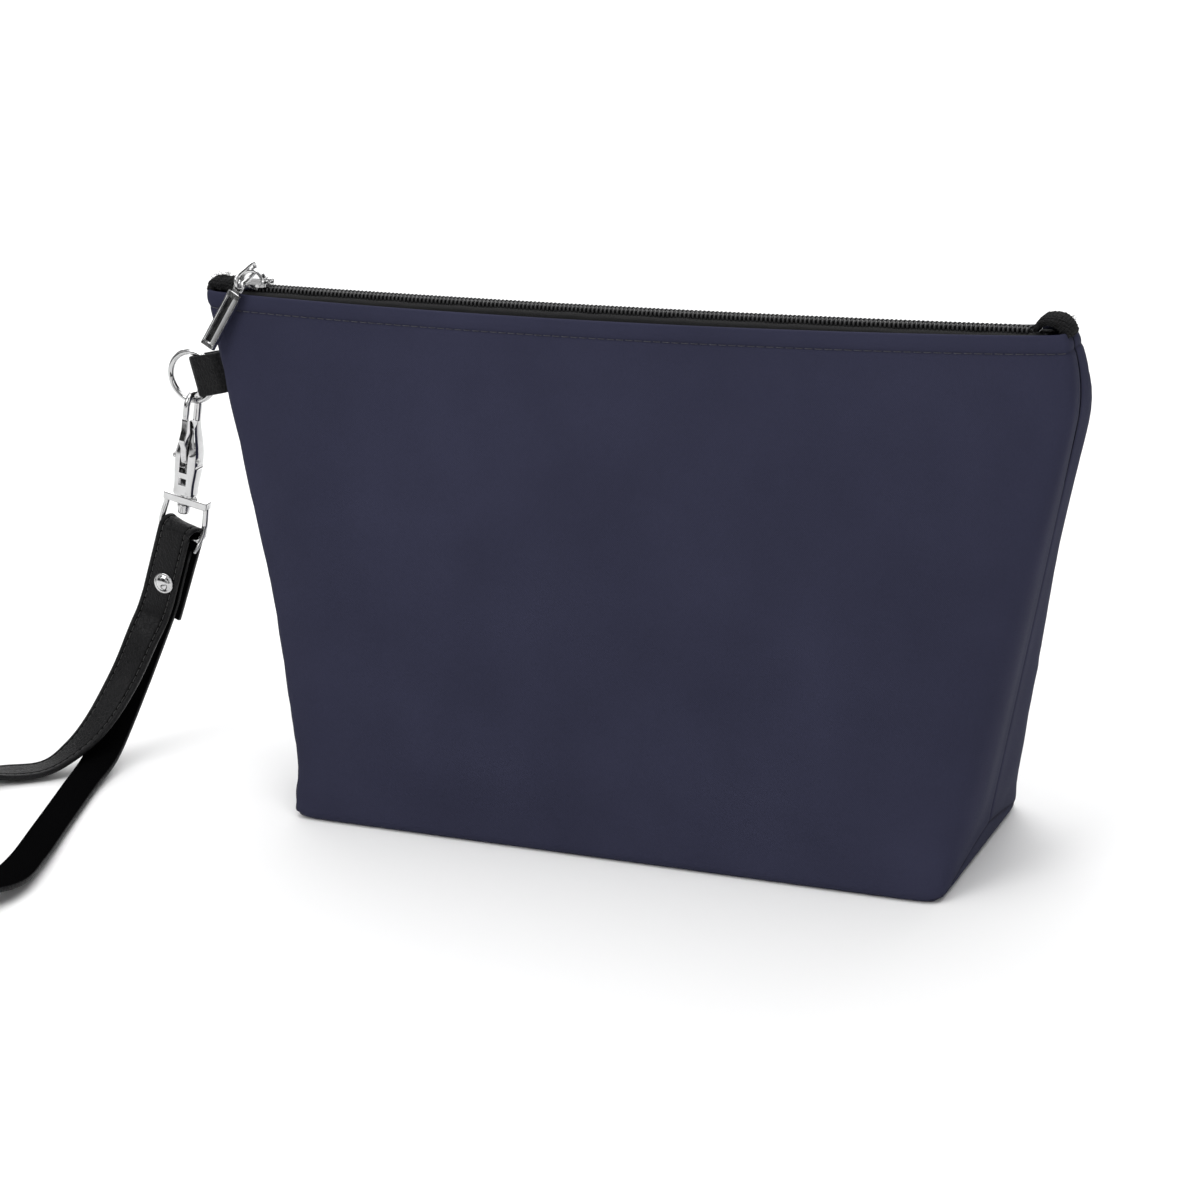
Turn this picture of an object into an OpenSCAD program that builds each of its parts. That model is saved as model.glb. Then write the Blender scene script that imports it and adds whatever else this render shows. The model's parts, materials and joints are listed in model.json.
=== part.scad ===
// Boxed zip pouch with a clip-on wrist strap.
//
// A wedge-shaped soft pouch, wide at the zip and narrow at the base, with a
// coil zip along its top, a leather tab and ring in one side seam, and a wrist
// strap that hangs from the ring on a swivel snap hook.
// Millimetres. +X runs along the zip, the front faces -Y, +Z is up. The origin
// is on the table, under the middle of the base.

/* [Pouch] */
// width of the base, between its boxed corners
base_w = 216.5; // [150:0.5:260]
// width along the zip, before the far corner is rounded
top_w = 288; // [180:1:340]
// depth of the base, front to back
base_d = 84; // [50:1:120]
// height of the fabric's top edge
body_h = 161; // [110:1:220]
// sideways lean of the filled pouch at its top
lean = -1; // [-10:0.5:10]
// how far the top corner at the far end of the zip is rounded in
corner_in = 7.5; // [0:0.5:15]
// thickness of the padded outer fabric
shell_t = 1.6; // [1:0.1:3]
// thickness of the lining
lining_t = 0.5; // [0.3:0.1:1]
// radius of the fold between base and walls
base_r = 5; // [2:0.5:10]

/* [Zip] */
// half of the gap between the two fabric edges
mouth_half = 7.5; // [6:0.5:10]
// width of the closed coil
coil_w = 5; // [4:0.1:7]
// height of the closed coil
coil_h = 2.6; // [2:0.1:4]
// height of the coil's centre
zip_z = 162.4; // [110:0.1:225]
// position of the slider along the zip when it is closed
slider_x = -130.5; // [-140:0.5:-100]
// free travel of the slider
slider_travel = 248; // [100:1:290]

/* [Ring and tab] */
// outer diameter of the ring
ring_od = 18.4; // [14:0.2:30]
// wire diameter of the ring
ring_wire = 2.0; // [1.5:0.1:3]
// height of the leather tab
tab_h = 13.6; // [8:0.2:25]
// thickness of the tab's leather
tab_t = 1.2; // [0.8:0.1:2]

/* [Snap hook] */
// lean of the hook from plumb, in degrees
hook_lean = 12; // [0:1:30]
// length from the ring to the foot of the hook body
hook_len = 33.3; // [25:0.1:50]
// greatest width of the hook body
hook_w = 9; // [6:0.1:12]
// depth of the hook body, front to back
hook_d = 7; // [5:0.1:10]
// radius of the swivel post
post_r = 1.5; // [1:0.05:2.5]

/* [Wrist strap] */
// width of the strap
strap_w = 12; // [8:0.5:12]
// thickness of the strap
strap_t = 1.8; // [1.2:0.1:3]
// lean of the strap where it leaves its loop, in degrees
strap_lean = 20; // [0:1:40]

/* [Hidden] */

fabric_blue = [0.17, 0.18, 0.26];
black = [0.06, 0.06, 0.065];
steel = [0.78, 0.79, 0.80];
lining_grey = [0.12, 0.12, 0.14];

// ---- pouch surface -------------------------------------------------------
// Plan section at height z: a rounded box whose half sizes and squareness
// change with height. Side seams lie at y = 0.
corner_h = 26;
function frac(z) = max(0, min(1, z / body_h));
function flare(z) = base_w / 2 + (top_w - base_w) / 2 * frac(z);
function left_x(z) = lean * frac(z) - flare(z);
function right_x(z) = lean * frac(z) + flare(z)
    - corner_in * pow(max(0, z - body_h + corner_h) / corner_h, 2);
function half_w(z) = (right_x(z) - left_x(z)) / 2;
function half_d(z) = mouth_half + (base_d / 2 - mouth_half) * (1 - pow(frac(z), 1.15));
function squareness(z) = 11 - 15.6 * frac(z) * (1 - frac(z));
function signed_pow(a, p) = sign(a) * pow(abs(a), p);
// how far the bottom fold pulls the section in
function fold_in(z) = z >= base_r ? 0 : base_r - sqrt(max(0, 2 * base_r * z - z * z));

// point of the surface, u = 0..1 from the left seam round the front to the
// right seam, v = 0..1 from the base's middle line up to the zip edge,
// off = distance in from the outer face
base_share = 0.2;
fold_share = 0.15;
function wall_z(v) = v < base_share ? 0
    : v < base_share + fold_share
        ? base_r * (1 - cos(90 * (v - base_share) / fold_share))
        : base_r + (body_h - base_r) * (v - base_share - fold_share)
                   / (1 - base_share - fold_share);
function skin(u, v, off) =
    let (z = wall_z(v), deep = v < base_share ? v / base_share : 1,
         a = 180 + 180 * u, n = 2 / squareness(z),
         w = half_w(z) - fold_in(z) - off, d = half_d(z) - fold_in(z) - off)
    [(left_x(z) + right_x(z)) / 2 + w * signed_pow(cos(a), n),
     deep * d * signed_pow(sin(a), n),
     min(body_h, max(z, off))];

// closed half shell between two depths under the outer face
module half_shell(off_out, off_in, nu, nv, v_top) {
    ring_n = nu + 1;
    function grid(off) = [for (j = [0:nv]) for (i = [0:nu])
        skin(i / nu, v_top * j / nv, off)];
    pts = concat(grid(off_out), grid(off_in));
    layer = ring_n * (nv + 1);
    function id(i, j, k) = k * layer + j * ring_n + i;
    outer = [for (j = [0:nv - 1]) for (i = [0:nu - 1])
        each [[id(i, j, 0), id(i, j + 1, 0), id(i + 1, j + 1, 0)],
              [id(i, j, 0), id(i + 1, j + 1, 0), id(i + 1, j, 0)]]];
    inner = [for (j = [0:nv - 1]) for (i = [0:nu - 1])
        each [[id(i, j, 1), id(i + 1, j + 1, 1), id(i, j + 1, 1)],
              [id(i, j, 1), id(i + 1, j, 1), id(i + 1, j + 1, 1)]]];
    seams = [for (j = [0:nv - 1]) each [
        [id(0, j, 0), id(0, j, 1), id(0, j + 1, 1)],
        [id(0, j, 0), id(0, j + 1, 1), id(0, j + 1, 0)],
        [id(nu, j, 0), id(nu, j + 1, 1), id(nu, j, 1)],
        [id(nu, j, 0), id(nu, j + 1, 0), id(nu, j + 1, 1)]]];
    rims = [for (i = [0:nu - 1]) each [
        [id(i, 0, 0), id(i + 1, 0, 1), id(i, 0, 1)],
        [id(i, 0, 0), id(i + 1, 0, 0), id(i + 1, 0, 1)],
        [id(i, nv, 0), id(i, nv, 1), id(i + 1, nv, 1)],
        [id(i, nv, 0), id(i + 1, nv, 1), id(i + 1, nv, 0)]]];
    polyhedron(pts, concat(outer, inner, seams, rims), convexity = 6);
}

module front_panel() {
    color(fabric_blue) half_shell(0, shell_t, 40, 18, 1);
}

module back_panel() {
    color(fabric_blue) mirror([0, 1, 0]) half_shell(0, shell_t, 40, 18, 1);
}

lining_gap = 0.3;
lining_out = shell_t + lining_gap;
lining_top = 0.93;
module lining_front() {
    color(lining_grey)
        half_shell(lining_out, lining_out + lining_t, 26, 12, lining_top);
}

module lining_back() {
    color(lining_grey) mirror([0, 1, 0])
        half_shell(lining_out, lining_out + lining_t, 26, 12, lining_top);
}

// tape that binds the seam allowance, inside the lining along a side seam
bind_z0 = 20;
bind_z1 = 140;
module seam_binding(side) {
    in = lining_out + lining_t + 0.5;
    x0 = side > 0 ? right_x(bind_z0) - in : left_x(bind_z0) + in;
    x1 = side > 0 ? right_x(bind_z1) - in : left_x(bind_z1) + in;
    color(black) translate([0, 0.9, 0]) rotate([90, 0, 0]) linear_extrude(1.8)
        polygon([[x0, bind_z0], [x1, bind_z1],
                 [x1 - side * 7, bind_z1], [x0 - side * 7, bind_z0]]);
}

// ---- zip -----------------------------------------------------------------
slider_len = 13.5;
slider_w = 8;
zip_x0 = -138;
coil_x1 = slider_x + slider_travel + slider_len / 2 + 0.3;
zip_x1 = coil_x1 + 4.5;
tape_t = 0.6;
// half gaps between the coils and between the tapes, where the wedge runs
coil_y = 0.45;
tape_y = 0.9;
// face of the tape's turned-down flap, beside the slider's plates
flap_y = slider_w / 2 + 0.3;
flap_h = 10;

module along_zip(x0, x1) {
    translate([x0, 0, 0]) rotate([90, 0, 90]) linear_extrude(x1 - x0) children();
}

// level strip beside the coil, with a flap turned down inside the panel
module zip_tape() {
    along_zip(zip_x0, zip_x1) translate([-flap_y - tape_t, zip_z - tape_t / 2])
        square([flap_y + tape_t - tape_y, tape_t]);
    along_zip(zip_x0 + 10, zip_x1 - 7) translate([-flap_y - tape_t, zip_z - flap_h])
        square([tape_t, flap_h]);
}

module zip_tape_front() {
    color(black) zip_tape();
}

module zip_tape_back() {
    color(black) mirror([0, 1, 0]) zip_tape();
}

// one half of the closed coil, clamped round the tape's inner edge
module coil_half() {
    along_zip(slider_x - 6, coil_x1) difference() {
        translate([-coil_w / 2, zip_z - coil_h / 2])
            square([coil_w / 2 - coil_y, coil_h]);
        translate([-coil_w, zip_z - 0.35]) square([coil_w - coil_y - 0.35, 0.7]);
        translate([-coil_w / 2, zip_z + coil_h / 2]) rotate(45)
            square(1.1, center = true);
        translate([-coil_w / 2, zip_z - coil_h / 2]) rotate(45)
            square(1.1, center = true);
    }
}

module zip_coil_front() {
    color(black) coil_half();
}

module zip_coil_back() {
    color(black) mirror([0, 1, 0]) coil_half();
}

// clip round the inner edge of one tape, just past the closed slider
module zip_top_stops() {
    color(steel) for (side = [0, 1]) mirror([0, side, 0]) difference() {
        translate([zip_x0 + 0.1, -2.4, zip_z - 1.2]) cube([0.9, 2.3, 2.4]);
        translate([zip_x0 - 1, -3, zip_z - 0.35]) cube([4, 2.4, 0.7]);
    }
}

// staple across both tapes where the coil ends
module zip_bottom_stop() {
    color(steel) translate([coil_x1 + 0.1, 0, 0]) difference() {
        translate([0, -2.6, zip_z - 1.3]) cube([2.4, 5.2, 2.6]);
        for (side = [0, 1]) mirror([0, side, 0])
            translate([-1, 0.7, zip_z - 0.35]) cube([5, 4, 0.7]);
    }
}

// folded-over end of the tape, standing over the side seam
module tape_end(x, w, h) {
    translate([x, 4.5, body_h + 0.05]) rotate([90, 0, 0]) linear_extrude(9) polygon([
        [-w / 2, 0], [w / 2, 0], [w / 2 - 0.6, h * 0.7], [w / 6, h],
        [-w / 3, h * 0.9], [-w / 2, h * 0.45]]);
}

module zip_end_left() {
    color(black) tape_end(zip_x0 - 3.7, 6, 5.5);
}

module zip_end_right() {
    color(black) tape_end(zip_x1 + 3.7, 7, 6.7);
}

// ---- slider --------------------------------------------------------------
plate_t = 1;
wedge_t = 0.6;
slot_h = 2.9;
slider_top = zip_z + slot_h / 2 + plate_t;

module slider_plate(z0) {
    translate([slider_x, 0, z0]) linear_extrude(plate_t) {
        translate([-slider_len / 2 + 3, -slider_w / 2])
            square([slider_len - 6, slider_w]);
        for (side = [-1, 1]) translate([side * (slider_len / 2 - 3.2), 0])
            circle(r = 3.2, $fn = 48);
    }
}

// side walls that guide the coil, with a slit for the tape
module slider_wall(z0, h) {
    for (side = [0, 1]) mirror([0, side, 0])
        translate([slider_x - slider_len / 2 + 3, -slider_w / 2, z0])
            cube([slider_len - 6, 1, h]);
}

module slider_body() {
    color(steel) union() {
        slider_plate(zip_z - slot_h / 2 - plate_t);
        slider_plate(zip_z + slot_h / 2);
        slider_wall(zip_z + tape_t / 2 + 0.4, slot_h / 2 - tape_t / 2 - 0.3);
        slider_wall(zip_z - slot_h / 2 - 0.1, slot_h / 2 - tape_t / 2 - 0.3);
        // wedge that parts the two halves of the coil
        translate([slider_x - slider_len / 2 + 0.6, -wedge_t / 2,
                   zip_z - slot_h / 2 - 0.5])
            cube([0.9, wedge_t, slot_h + 1]);
    }
}

// arch on top of the slider that carries the pull
bail_r = 5;
bail_bar = 1.3;
crown_z = slider_top + bail_r - bail_bar / 2 - 0.4;
module slider_bail() {
    color(steel) translate([slider_x, 0, slider_top]) {
        rotate([90, 0, 0]) translate([0, 0, -1]) linear_extrude(2) difference() {
            translate([0, -0.4]) circle(r = bail_r, $fn = 72);
            translate([0, -0.4]) circle(r = bail_r - bail_bar, $fn = 64);
            translate([-10, -20]) square([20, 20]);
        }
        translate([bail_r - 0.6, -1.4, 0]) cube([2, 2.8, 1.8]);
    }
}

// ---- pull ----------------------------------------------------------------
// A wire link rides on the bail's crown and holds the long bar in front of the
// zip. The link flips over the zip, and the bar swings on the link's far end.
link_dip = 12;
link_len = 8.6;
link_r = 1.85;
wire_r = 0.5;
bar_lean = 28;
bar_tilt = 17;
bar_len = 22;
bar_w = 5;
bar_t = 1.7;
eye_y = -link_len * cos(link_dip);
eye_z = crown_z - link_len * sin(link_dip) - link_r;

module bend(angle) {
    rotate_extrude(angle = angle, $fn = 48) translate([link_r, 0]) circle(wire_r, $fn = 24);
}

// local x runs along the link, local z along the zip
module pull_link() {
    color(steel) translate([slider_x, 0, crown_z]) rotate([0, 90, 0])
        rotate([0, 0, 270 + link_dip]) union() {
            rotate([0, 0, 90]) bend(180);
            translate([link_len, 0, 0]) rotate([0, 0, -90]) bend(180);
            for (side = [-1, 1]) translate([0, side * link_r, 0])
                rotate([0, 90, 0]) cylinder(r = wire_r, h = link_len, $fn = 24);
        }
}

module at_pull_eye() {
    translate([slider_x, eye_y, eye_z]) rotate([-bar_tilt, 0, 0])
        rotate([0, bar_lean, 0]) children();
}

module pull_bar() {
    color(steel) at_pull_eye() difference() {
        union() {
            // shallow channel with two raised edges
            translate([0, 0, -bar_len]) linear_extrude(bar_len - 3) polygon([
                [-bar_w / 2, bar_t / 2], [bar_w / 2, bar_t / 2],
                [bar_w / 2, -bar_t / 2], [bar_w / 2 - 0.5, -bar_t / 2],
                [bar_w / 2 - 0.9, -0.2], [-bar_w / 2 + 0.9, -0.2],
                [-bar_w / 2 + 0.5, -bar_t / 2], [-bar_w / 2, -bar_t / 2]]);
            // collar and eye
            translate([-bar_w / 2, -bar_t / 2, -4]) cube([bar_w, bar_t, 1.6]);
            translate([0, 0.45, -0.6]) rotate([90, 0, 0]) linear_extrude(0.9) union() {
                circle(r = 1.9, $fn = 48);
                translate([-1.7, -2.4]) square([3.4, 2.4]);
            }
        }
        translate([0, 5, -0.4]) rotate([90, 0, 0]) cylinder(r = 1.05, h = 10, $fn = 40);
    }
}

// ---- tab and ring --------------------------------------------------------
ring_x = -156.5;
ring_z = 132.3;
ring_c = (ring_od - ring_wire) / 2;
tab_gap = ring_wire + 0.7;
tab_lean = 12;
tab_out = 9;
tab_in = 9;
// strip folded round the ring, its two ends sewn into the side seam
module tab_section() {
    half = tab_gap / 2 + tab_t;
    polygon(concat(
        [for (a = [90:10:270]) [half - tab_out + half * cos(a), half * sin(a)]],
        [[1, -half], [3.5, -tab_t], [tab_in, -tab_t], [tab_in, tab_t],
         [3.5, tab_t], [1, half]]));
}

module ring_tab() {
    bend_x = tab_gap / 2 + tab_t - tab_out;
    color(black) translate([-146.8, 0, 134.2]) rotate([0, -tab_lean, 0])
        translate([0, 0, -tab_h / 2]) difference() {
            linear_extrude(tab_h) tab_section();
            translate([bend_x, 0, -1]) cylinder(d = tab_gap, h = tab_h + 2, $fn = 48);
            translate([bend_x, -tab_gap / 2, -1])
                cube([0.4 - bend_x, tab_gap, tab_h + 2]);
        }
}

module ring() {
    color(steel) translate([ring_x, 0, ring_z]) rotate([90, 0, 0])
        rotate_extrude($fn = 96) translate([ring_c, 0]) circle(d = ring_wire, $fn = 32);
}

// ---- snap hook -----------------------------------------------------------
// Local frame of the hook: origin on the ring's wire, local z along the hook.
module at_hook() {
    translate([ring_x - 0.8, 0, ring_z - ring_c + 0.05]) rotate([0, hook_lean, 0])
        children();
}

crook_r = 3.6;
crook_wire = 1.25;
crook_z = -1.3;
nose_z = -3.6;
neck_z = -7;
gate_pin_z = -20;
gate_pin_r = 0.8;
gate_slot = 1.45;

module hook_outline() {
    polygon([[-1.5, neck_z], [1.5, neck_z], [2.4, -11], [hook_w / 2 - 0.3, -16.5],
             [hook_w / 2, -19], [hook_w / 2, -24], [hook_w / 2 - 0.5, -29],
             [hook_w / 2 - 0.3, -hook_len], [-hook_w / 2 + 0.3, -hook_len],
             [-hook_w / 2 + 0.5, -29], [-hook_w / 2, -24], [-hook_w / 2, -19],
             [-hook_w / 2 + 0.3, -16.5], [-2.4, -11]]);
}

module hook_body() {
    color(steel) at_hook() difference() {
        union() {
            // crook over the ring
            translate([0, 0, crook_z]) rotate([0, -90, 0]) rotate([0, 0, -90])
                rotate_extrude(angle = 180, $fn = 64) translate([crook_r, 0])
                    circle(crook_wire, $fn = 32);
            // nose
            translate([0, -crook_r, nose_z]) cylinder(r = crook_wire, h = crook_z - nose_z,
                                                      $fn = 32);
            // spine down into the body
            translate([0, crook_r, neck_z - 4]) cylinder(r = crook_wire,
                                                h = crook_z - neck_z + 4, $fn = 32);
            translate([0, hook_d / 2 + 1, 0]) rotate([90, 0, 0])
                linear_extrude(hook_d) intersection() {
                    hook_outline();
                    translate([-10, -60]) square([20, 52]);
                }
        }
        // slot for the gate, open to the front and up into the eye
        translate([-gate_slot, -10, -25]) cube([2 * gate_slot, 12, 20]);
        // window below the gate
        translate([-gate_slot, -10, -29.6]) cube([2 * gate_slot, 20, 3]);
        // pin hole through both cheeks
        translate([-10, -0.6, gate_pin_z]) rotate([0, 90, 0])
            cylinder(r = gate_pin_r + 0.02, h = 20, $fn = 32);
        // hole for the swivel post
        translate([0, 0.5, -hook_len - 1]) cylinder(r = post_r + 0.02, h = 3.6, $fn = 40);
    }
}

module gate_pin() {
    color(steel) at_hook() translate([-3.6, -0.6, gate_pin_z]) rotate([0, 90, 0])
        cylinder(r = gate_pin_r, h = 7.2, $fn = 32);
}

// lever that closes the hook's mouth and opens inwards, with a thumb bump
module hook_gate() {
    color(steel) at_hook() difference() {
        union() {
            translate([-1.15, 0, 0]) rotate([90, 0, 90]) linear_extrude(2.3)
                polygon([[-2.3, gate_pin_z], [-3.4, -16], [-5.2, -13.4], [-4.8, -11.6],
                         [-4.2, -10], [-4.4, -5.4], [-3, -5.4], [-2, -10],
                         [1.1, gate_pin_z]]);
            translate([-1.15, -0.6, gate_pin_z]) rotate([0, 90, 0])
                cylinder(r = 1.7, h = 2.3, $fn = 40);
        }
        translate([-5, -0.6, gate_pin_z]) rotate([0, 90, 0])
            cylinder(r = gate_pin_r + 0.05, h = 10, $fn = 32);
    }
}

// leaf spring behind the gate
module gate_spring() {
    color(steel) at_hook() translate([-0.9, 0, 0]) rotate([90, 0, 90])
        linear_extrude(1.8) polygon([[1.55, -24.8], [1.95, -24.8], [1.95, -10.5],
                                     [1.7, -10.5], [1.55, -18]]);
}

loop_bar_top = -hook_len - 0.5;
loop_bar_h = 2.6;
loop_wire = 1;
loop_half = 8;
loop_low = -48;
loop_corner = 2.5;
post_y = 0.5;

module swivel_post() {
    color(steel) at_hook() translate([0, post_y, 0]) {
        translate([0, 0, loop_bar_top - loop_bar_h - 0.8])
            cylinder(r = post_r, h = loop_bar_h + 3.5, $fn = 48);
        translate([0, 0, loop_bar_top - loop_bar_h - 3.7])
            cylinder(r1 = 1.7, r2 = 2.3, h = 3.4, $fn = 48);
    }
}

module loop_corner_wire(side) {
    translate([side * (loop_half - loop_corner), 0, loop_low + loop_corner])
        rotate([90, 0, 0]) rotate([0, 0, side > 0 ? -90 : 180])
            rotate_extrude(angle = 90, $fn = 64) translate([loop_corner, 0])
                circle(loop_wire, $fn = 28);
}

// flat bar on the swivel post, with a round wire loop for the strap
module d_loop() {
    color(steel) at_hook() translate([0, post_y, 0]) difference() {
        union() {
            translate([-loop_half - 1, -1.7, loop_bar_top - loop_bar_h])
                cube([2 * loop_half + 2, 3.4, loop_bar_h]);
            for (side = [-1, 1]) {
                translate([side * loop_half, 0, loop_low + loop_corner])
                    cylinder(r = loop_wire, $fn = 28,
                             h = loop_bar_top - 1 - loop_low - loop_corner);
                loop_corner_wire(side);
            }
            translate([-loop_half + loop_corner, 0, loop_low]) rotate([0, 90, 0])
                cylinder(r = loop_wire, h = 2 * (loop_half - loop_corner), $fn = 28);
        }
        translate([0, 0, loop_bar_top - loop_bar_h - 1])
            cylinder(r = post_r + 0.06, h = loop_bar_h + 2, $fn = 48);
    }
}

// ---- wrist strap ---------------------------------------------------------
// Local frame of the strap's head: origin on the loop's low bar, local z up
// along the strap.
bar_x = ring_x - 0.8 + loop_low * sin(hook_lean);
bar_z = ring_z - ring_c + 0.05 + loop_low * cos(hook_lean);
module at_strap() {
    translate([bar_x, post_y, bar_z]) rotate([0, strap_lean, 0]) children();
}

fold_gap = 3;
fold_crest = 2.8;
front_end = -24;
back_end = -31;
rivet_u = -0.6;
rivet_z = -17.7;
rivet_r = 3.6;

// doubled end of the strap, over the loop's bar
module strap_fold() {
    color(black) at_strap() difference() {
        translate([-strap_w / 2, 0, 0]) rotate([90, 0, 90]) linear_extrude(strap_w)
            difference() {
                union() {
                    r = fold_gap / 2 + strap_t;
                    translate([0, fold_crest - fold_gap / 2]) circle(r = r, $fn = 56);
                    translate([-r, front_end])
                        square([r, fold_crest - fold_gap / 2 - front_end]);
                    translate([0, back_end])
                        square([r, fold_crest - fold_gap / 2 - back_end]);
                }
                translate([0, fold_crest - fold_gap / 2]) circle(d = fold_gap, $fn = 48);
                translate([-fold_gap / 2, back_end - 1])
                    square([fold_gap, fold_crest - fold_gap / 2 - back_end + 1]);
            }
        translate([rivet_u, 10, rivet_z]) rotate([90, 0, 0])
            cylinder(r = 1.02, h = 20, $fn = 32);
    }
}

module rivet_dome(side) {
    r = fold_gap / 2 + strap_t;
    at_strap() translate([rivet_u, side * r, rivet_z]) rotate([side * -90, 0, 0])
        rotate_extrude($fn = 64) intersection() {
            translate([0, -3.9]) circle(r = 5.3, $fn = 96);
            square([rivet_r, 3]);
        }
}

module rivet_cap_front() {
    color(steel) rivet_dome(-1);
}

module rivet_cap_back() {
    color(steel) rivet_dome(1);
}

module rivet_post() {
    r = fold_gap / 2 + strap_t;
    color(steel) at_strap() translate([rivet_u, r, rivet_z]) rotate([90, 0, 0])
        cylinder(r = 1, h = 2 * r, $fn = 32);
}

// middle line of the strap, and the way its width points, from the front leg
// round the wrist loop and back up between the two legs
head = [bar_x, post_y, bar_z];
down = [-sin(strap_lean), 0, -cos(strap_lean)];
across = [cos(strap_lean), 0, -sin(strap_lean)];
leg_y = (fold_gap + strap_t) / 2;
route = [
    head + [0, -leg_y, 0] - front_end * down,
    head + [0, -leg_y, 0] + 30 * down,
    [-182, -6.5, 42.5], [-187.3, -12, 29], [-193, -21.5, 16], [-200.5, -29, 7],
    [-208, -36, 2.6], [-220, -44, 3.1], [-235, -54, 5.7], [-246, -72, 6.6],
    [-246, -93, 6.6], [-238, -116, 6.6], [-222, -137, 6.6], [-203, -147, 6.6],
    [-184, -146, 6.5], [-170, -136, 6.3], [-163.5, -121, 4.8], [-168, -102, 3],
    [-177.5, -75, 1.8], [-187.5, -44, 1.8], [-191, -26, 4.5], [-191.5, -14, 12.5],
    [-189, -5, 25], [-185.5, -1, 35.5],
    head + 27 * down, head + 18 * down, head + 4 * down];
widths = [
    across, across, [0.93, -0.1, -0.35], [0.88, -0.25, -0.38], [0.78, -0.5, -0.35],
    [0.6, -0.78, -0.2], [0.45, -0.9, 0], [0.42, -0.88, 0.12], [0.3, -0.6, 0.75],
    [0, 0, 1], [0, 0, 1], [0, 0, 1], [0, 0, 1], [0.1, 0.1, 1], [0.35, -0.1, 0.9],
    [0.7, -0.2, 0.6], [0.92, -0.1, 0.3], [0.98, 0.1, 0.08], [0.98, 0.2, 0],
    [0.98, 0.2, 0], [0.97, 0.1, -0.1], [0.96, 0, -0.25], [0.95, 0, -0.3],
    across, across, across, across];

last = len(route) - 1;
function at(list, i) = list[max(0, min(last, i))];
// Catmull-Rom point on a list, t in segments
function smooth(list, t) =
    let (i = min(last - 1, floor(t)), f = t - i,
         a = at(list, i - 1), b = at(list, i), c = at(list, i + 1), d = at(list, i + 2))
    0.5 * (2 * b + (c - a) * f + (2 * a - 5 * b + 4 * c - d) * f * f
           + (3 * b - a - 3 * c + d) * f * f * f);
function unit(v) = v / norm(v);
function tangent(t) = unit(smooth(route, min(last, t + 0.02))
                           - smooth(route, max(0, t - 0.02)));
function width_dir(t) = let (w = smooth(widths, t), q = tangent(t))
    unit(w - (w * q) * q);
strap_ring = [
    [-1, -0.35], [-0.96, -1], [0, -1], [0.96, -1], [1, -0.35],
    [1, 0.35], [0.96, 1], [0, 1], [-0.96, 1], [-1, 0.35]];
steps_per_segment = 3;

module wrist_strap() {
    n = last * steps_per_segment;
    m = len(strap_ring);
    pts = [for (k = [0:n]) let (t = k / steps_per_segment, p = smooth(route, t),
                                w = width_dir(t), q = cross(tangent(t), w))
        each [for (s = strap_ring) p + s[0] * strap_w / 2 * w + s[1] * strap_t / 2 * q]];
    faces = concat(
        [[for (i = [0:m - 1]) i], [for (i = [m - 1:-1:0]) n * m + i]],
        [for (k = [0:n - 1]) for (i = [0:m - 1]) let (j = (i + 1) % m) each [
            [k * m + i, (k + 1) * m + i, (k + 1) * m + j],
            [k * m + i, (k + 1) * m + j, k * m + j]]]);
    color(black) polyhedron(pts, faces, convexity = 10);
}

front_panel();
back_panel();
lining_front();
lining_back();
seam_binding(-1);  // seam_binding_left
seam_binding(1);  // seam_binding_right
zip_tape_front();
zip_tape_back();
zip_coil_front();
zip_coil_back();
zip_top_stops();
zip_bottom_stop();
zip_end_left();
zip_end_right();
ring_tab();
slider_body();
slider_bail();
pull_link();
pull_bar();
ring();
hook_body();
swivel_post();
gate_pin();
gate_spring();
hook_gate();
d_loop();
strap_fold();
rivet_cap_front();
rivet_cap_back();
rivet_post();
wrist_strap();
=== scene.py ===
"""Boxed zip pouch with a clip-on wrist strap: the visual model on the shared frame.

Metres, in the part's own frame: +X along the zip, front facing -Y, +Z up.
"""

import json
import math

import bpy
import numpy as np
from mathutils import Matrix, Vector
from mathutils.kdtree import KDTree


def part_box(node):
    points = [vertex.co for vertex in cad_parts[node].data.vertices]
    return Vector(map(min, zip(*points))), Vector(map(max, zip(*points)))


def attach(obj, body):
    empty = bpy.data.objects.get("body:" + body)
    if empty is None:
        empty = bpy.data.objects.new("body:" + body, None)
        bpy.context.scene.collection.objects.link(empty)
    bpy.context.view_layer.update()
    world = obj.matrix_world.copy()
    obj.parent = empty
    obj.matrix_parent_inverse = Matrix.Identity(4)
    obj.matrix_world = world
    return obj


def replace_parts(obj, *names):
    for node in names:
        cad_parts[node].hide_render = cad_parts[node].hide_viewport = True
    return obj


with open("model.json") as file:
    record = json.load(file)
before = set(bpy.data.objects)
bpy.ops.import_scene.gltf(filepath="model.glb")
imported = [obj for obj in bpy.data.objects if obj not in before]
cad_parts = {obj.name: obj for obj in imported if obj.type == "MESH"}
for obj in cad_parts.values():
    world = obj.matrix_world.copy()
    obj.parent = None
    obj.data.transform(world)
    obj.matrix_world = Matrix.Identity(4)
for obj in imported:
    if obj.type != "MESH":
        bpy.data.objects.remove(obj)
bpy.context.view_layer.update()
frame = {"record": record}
MM = 0.001
JOINTS = {j["name"]: j for j in frame["record"]["behaviour"]["joints"]}
rng = np.random.default_rng(7)


def joint_at(name):
    return Vector(JOINTS[name]["pos_m"])


# ---- camera ---------------------------------------------------------------
AZIMUTH, ELEVATION, ROLL = 25.17, 18.8, -3.0
CAMERA_AT = Vector((0.3553, -0.7880, 0.3653))
LENS = 88.46


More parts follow.
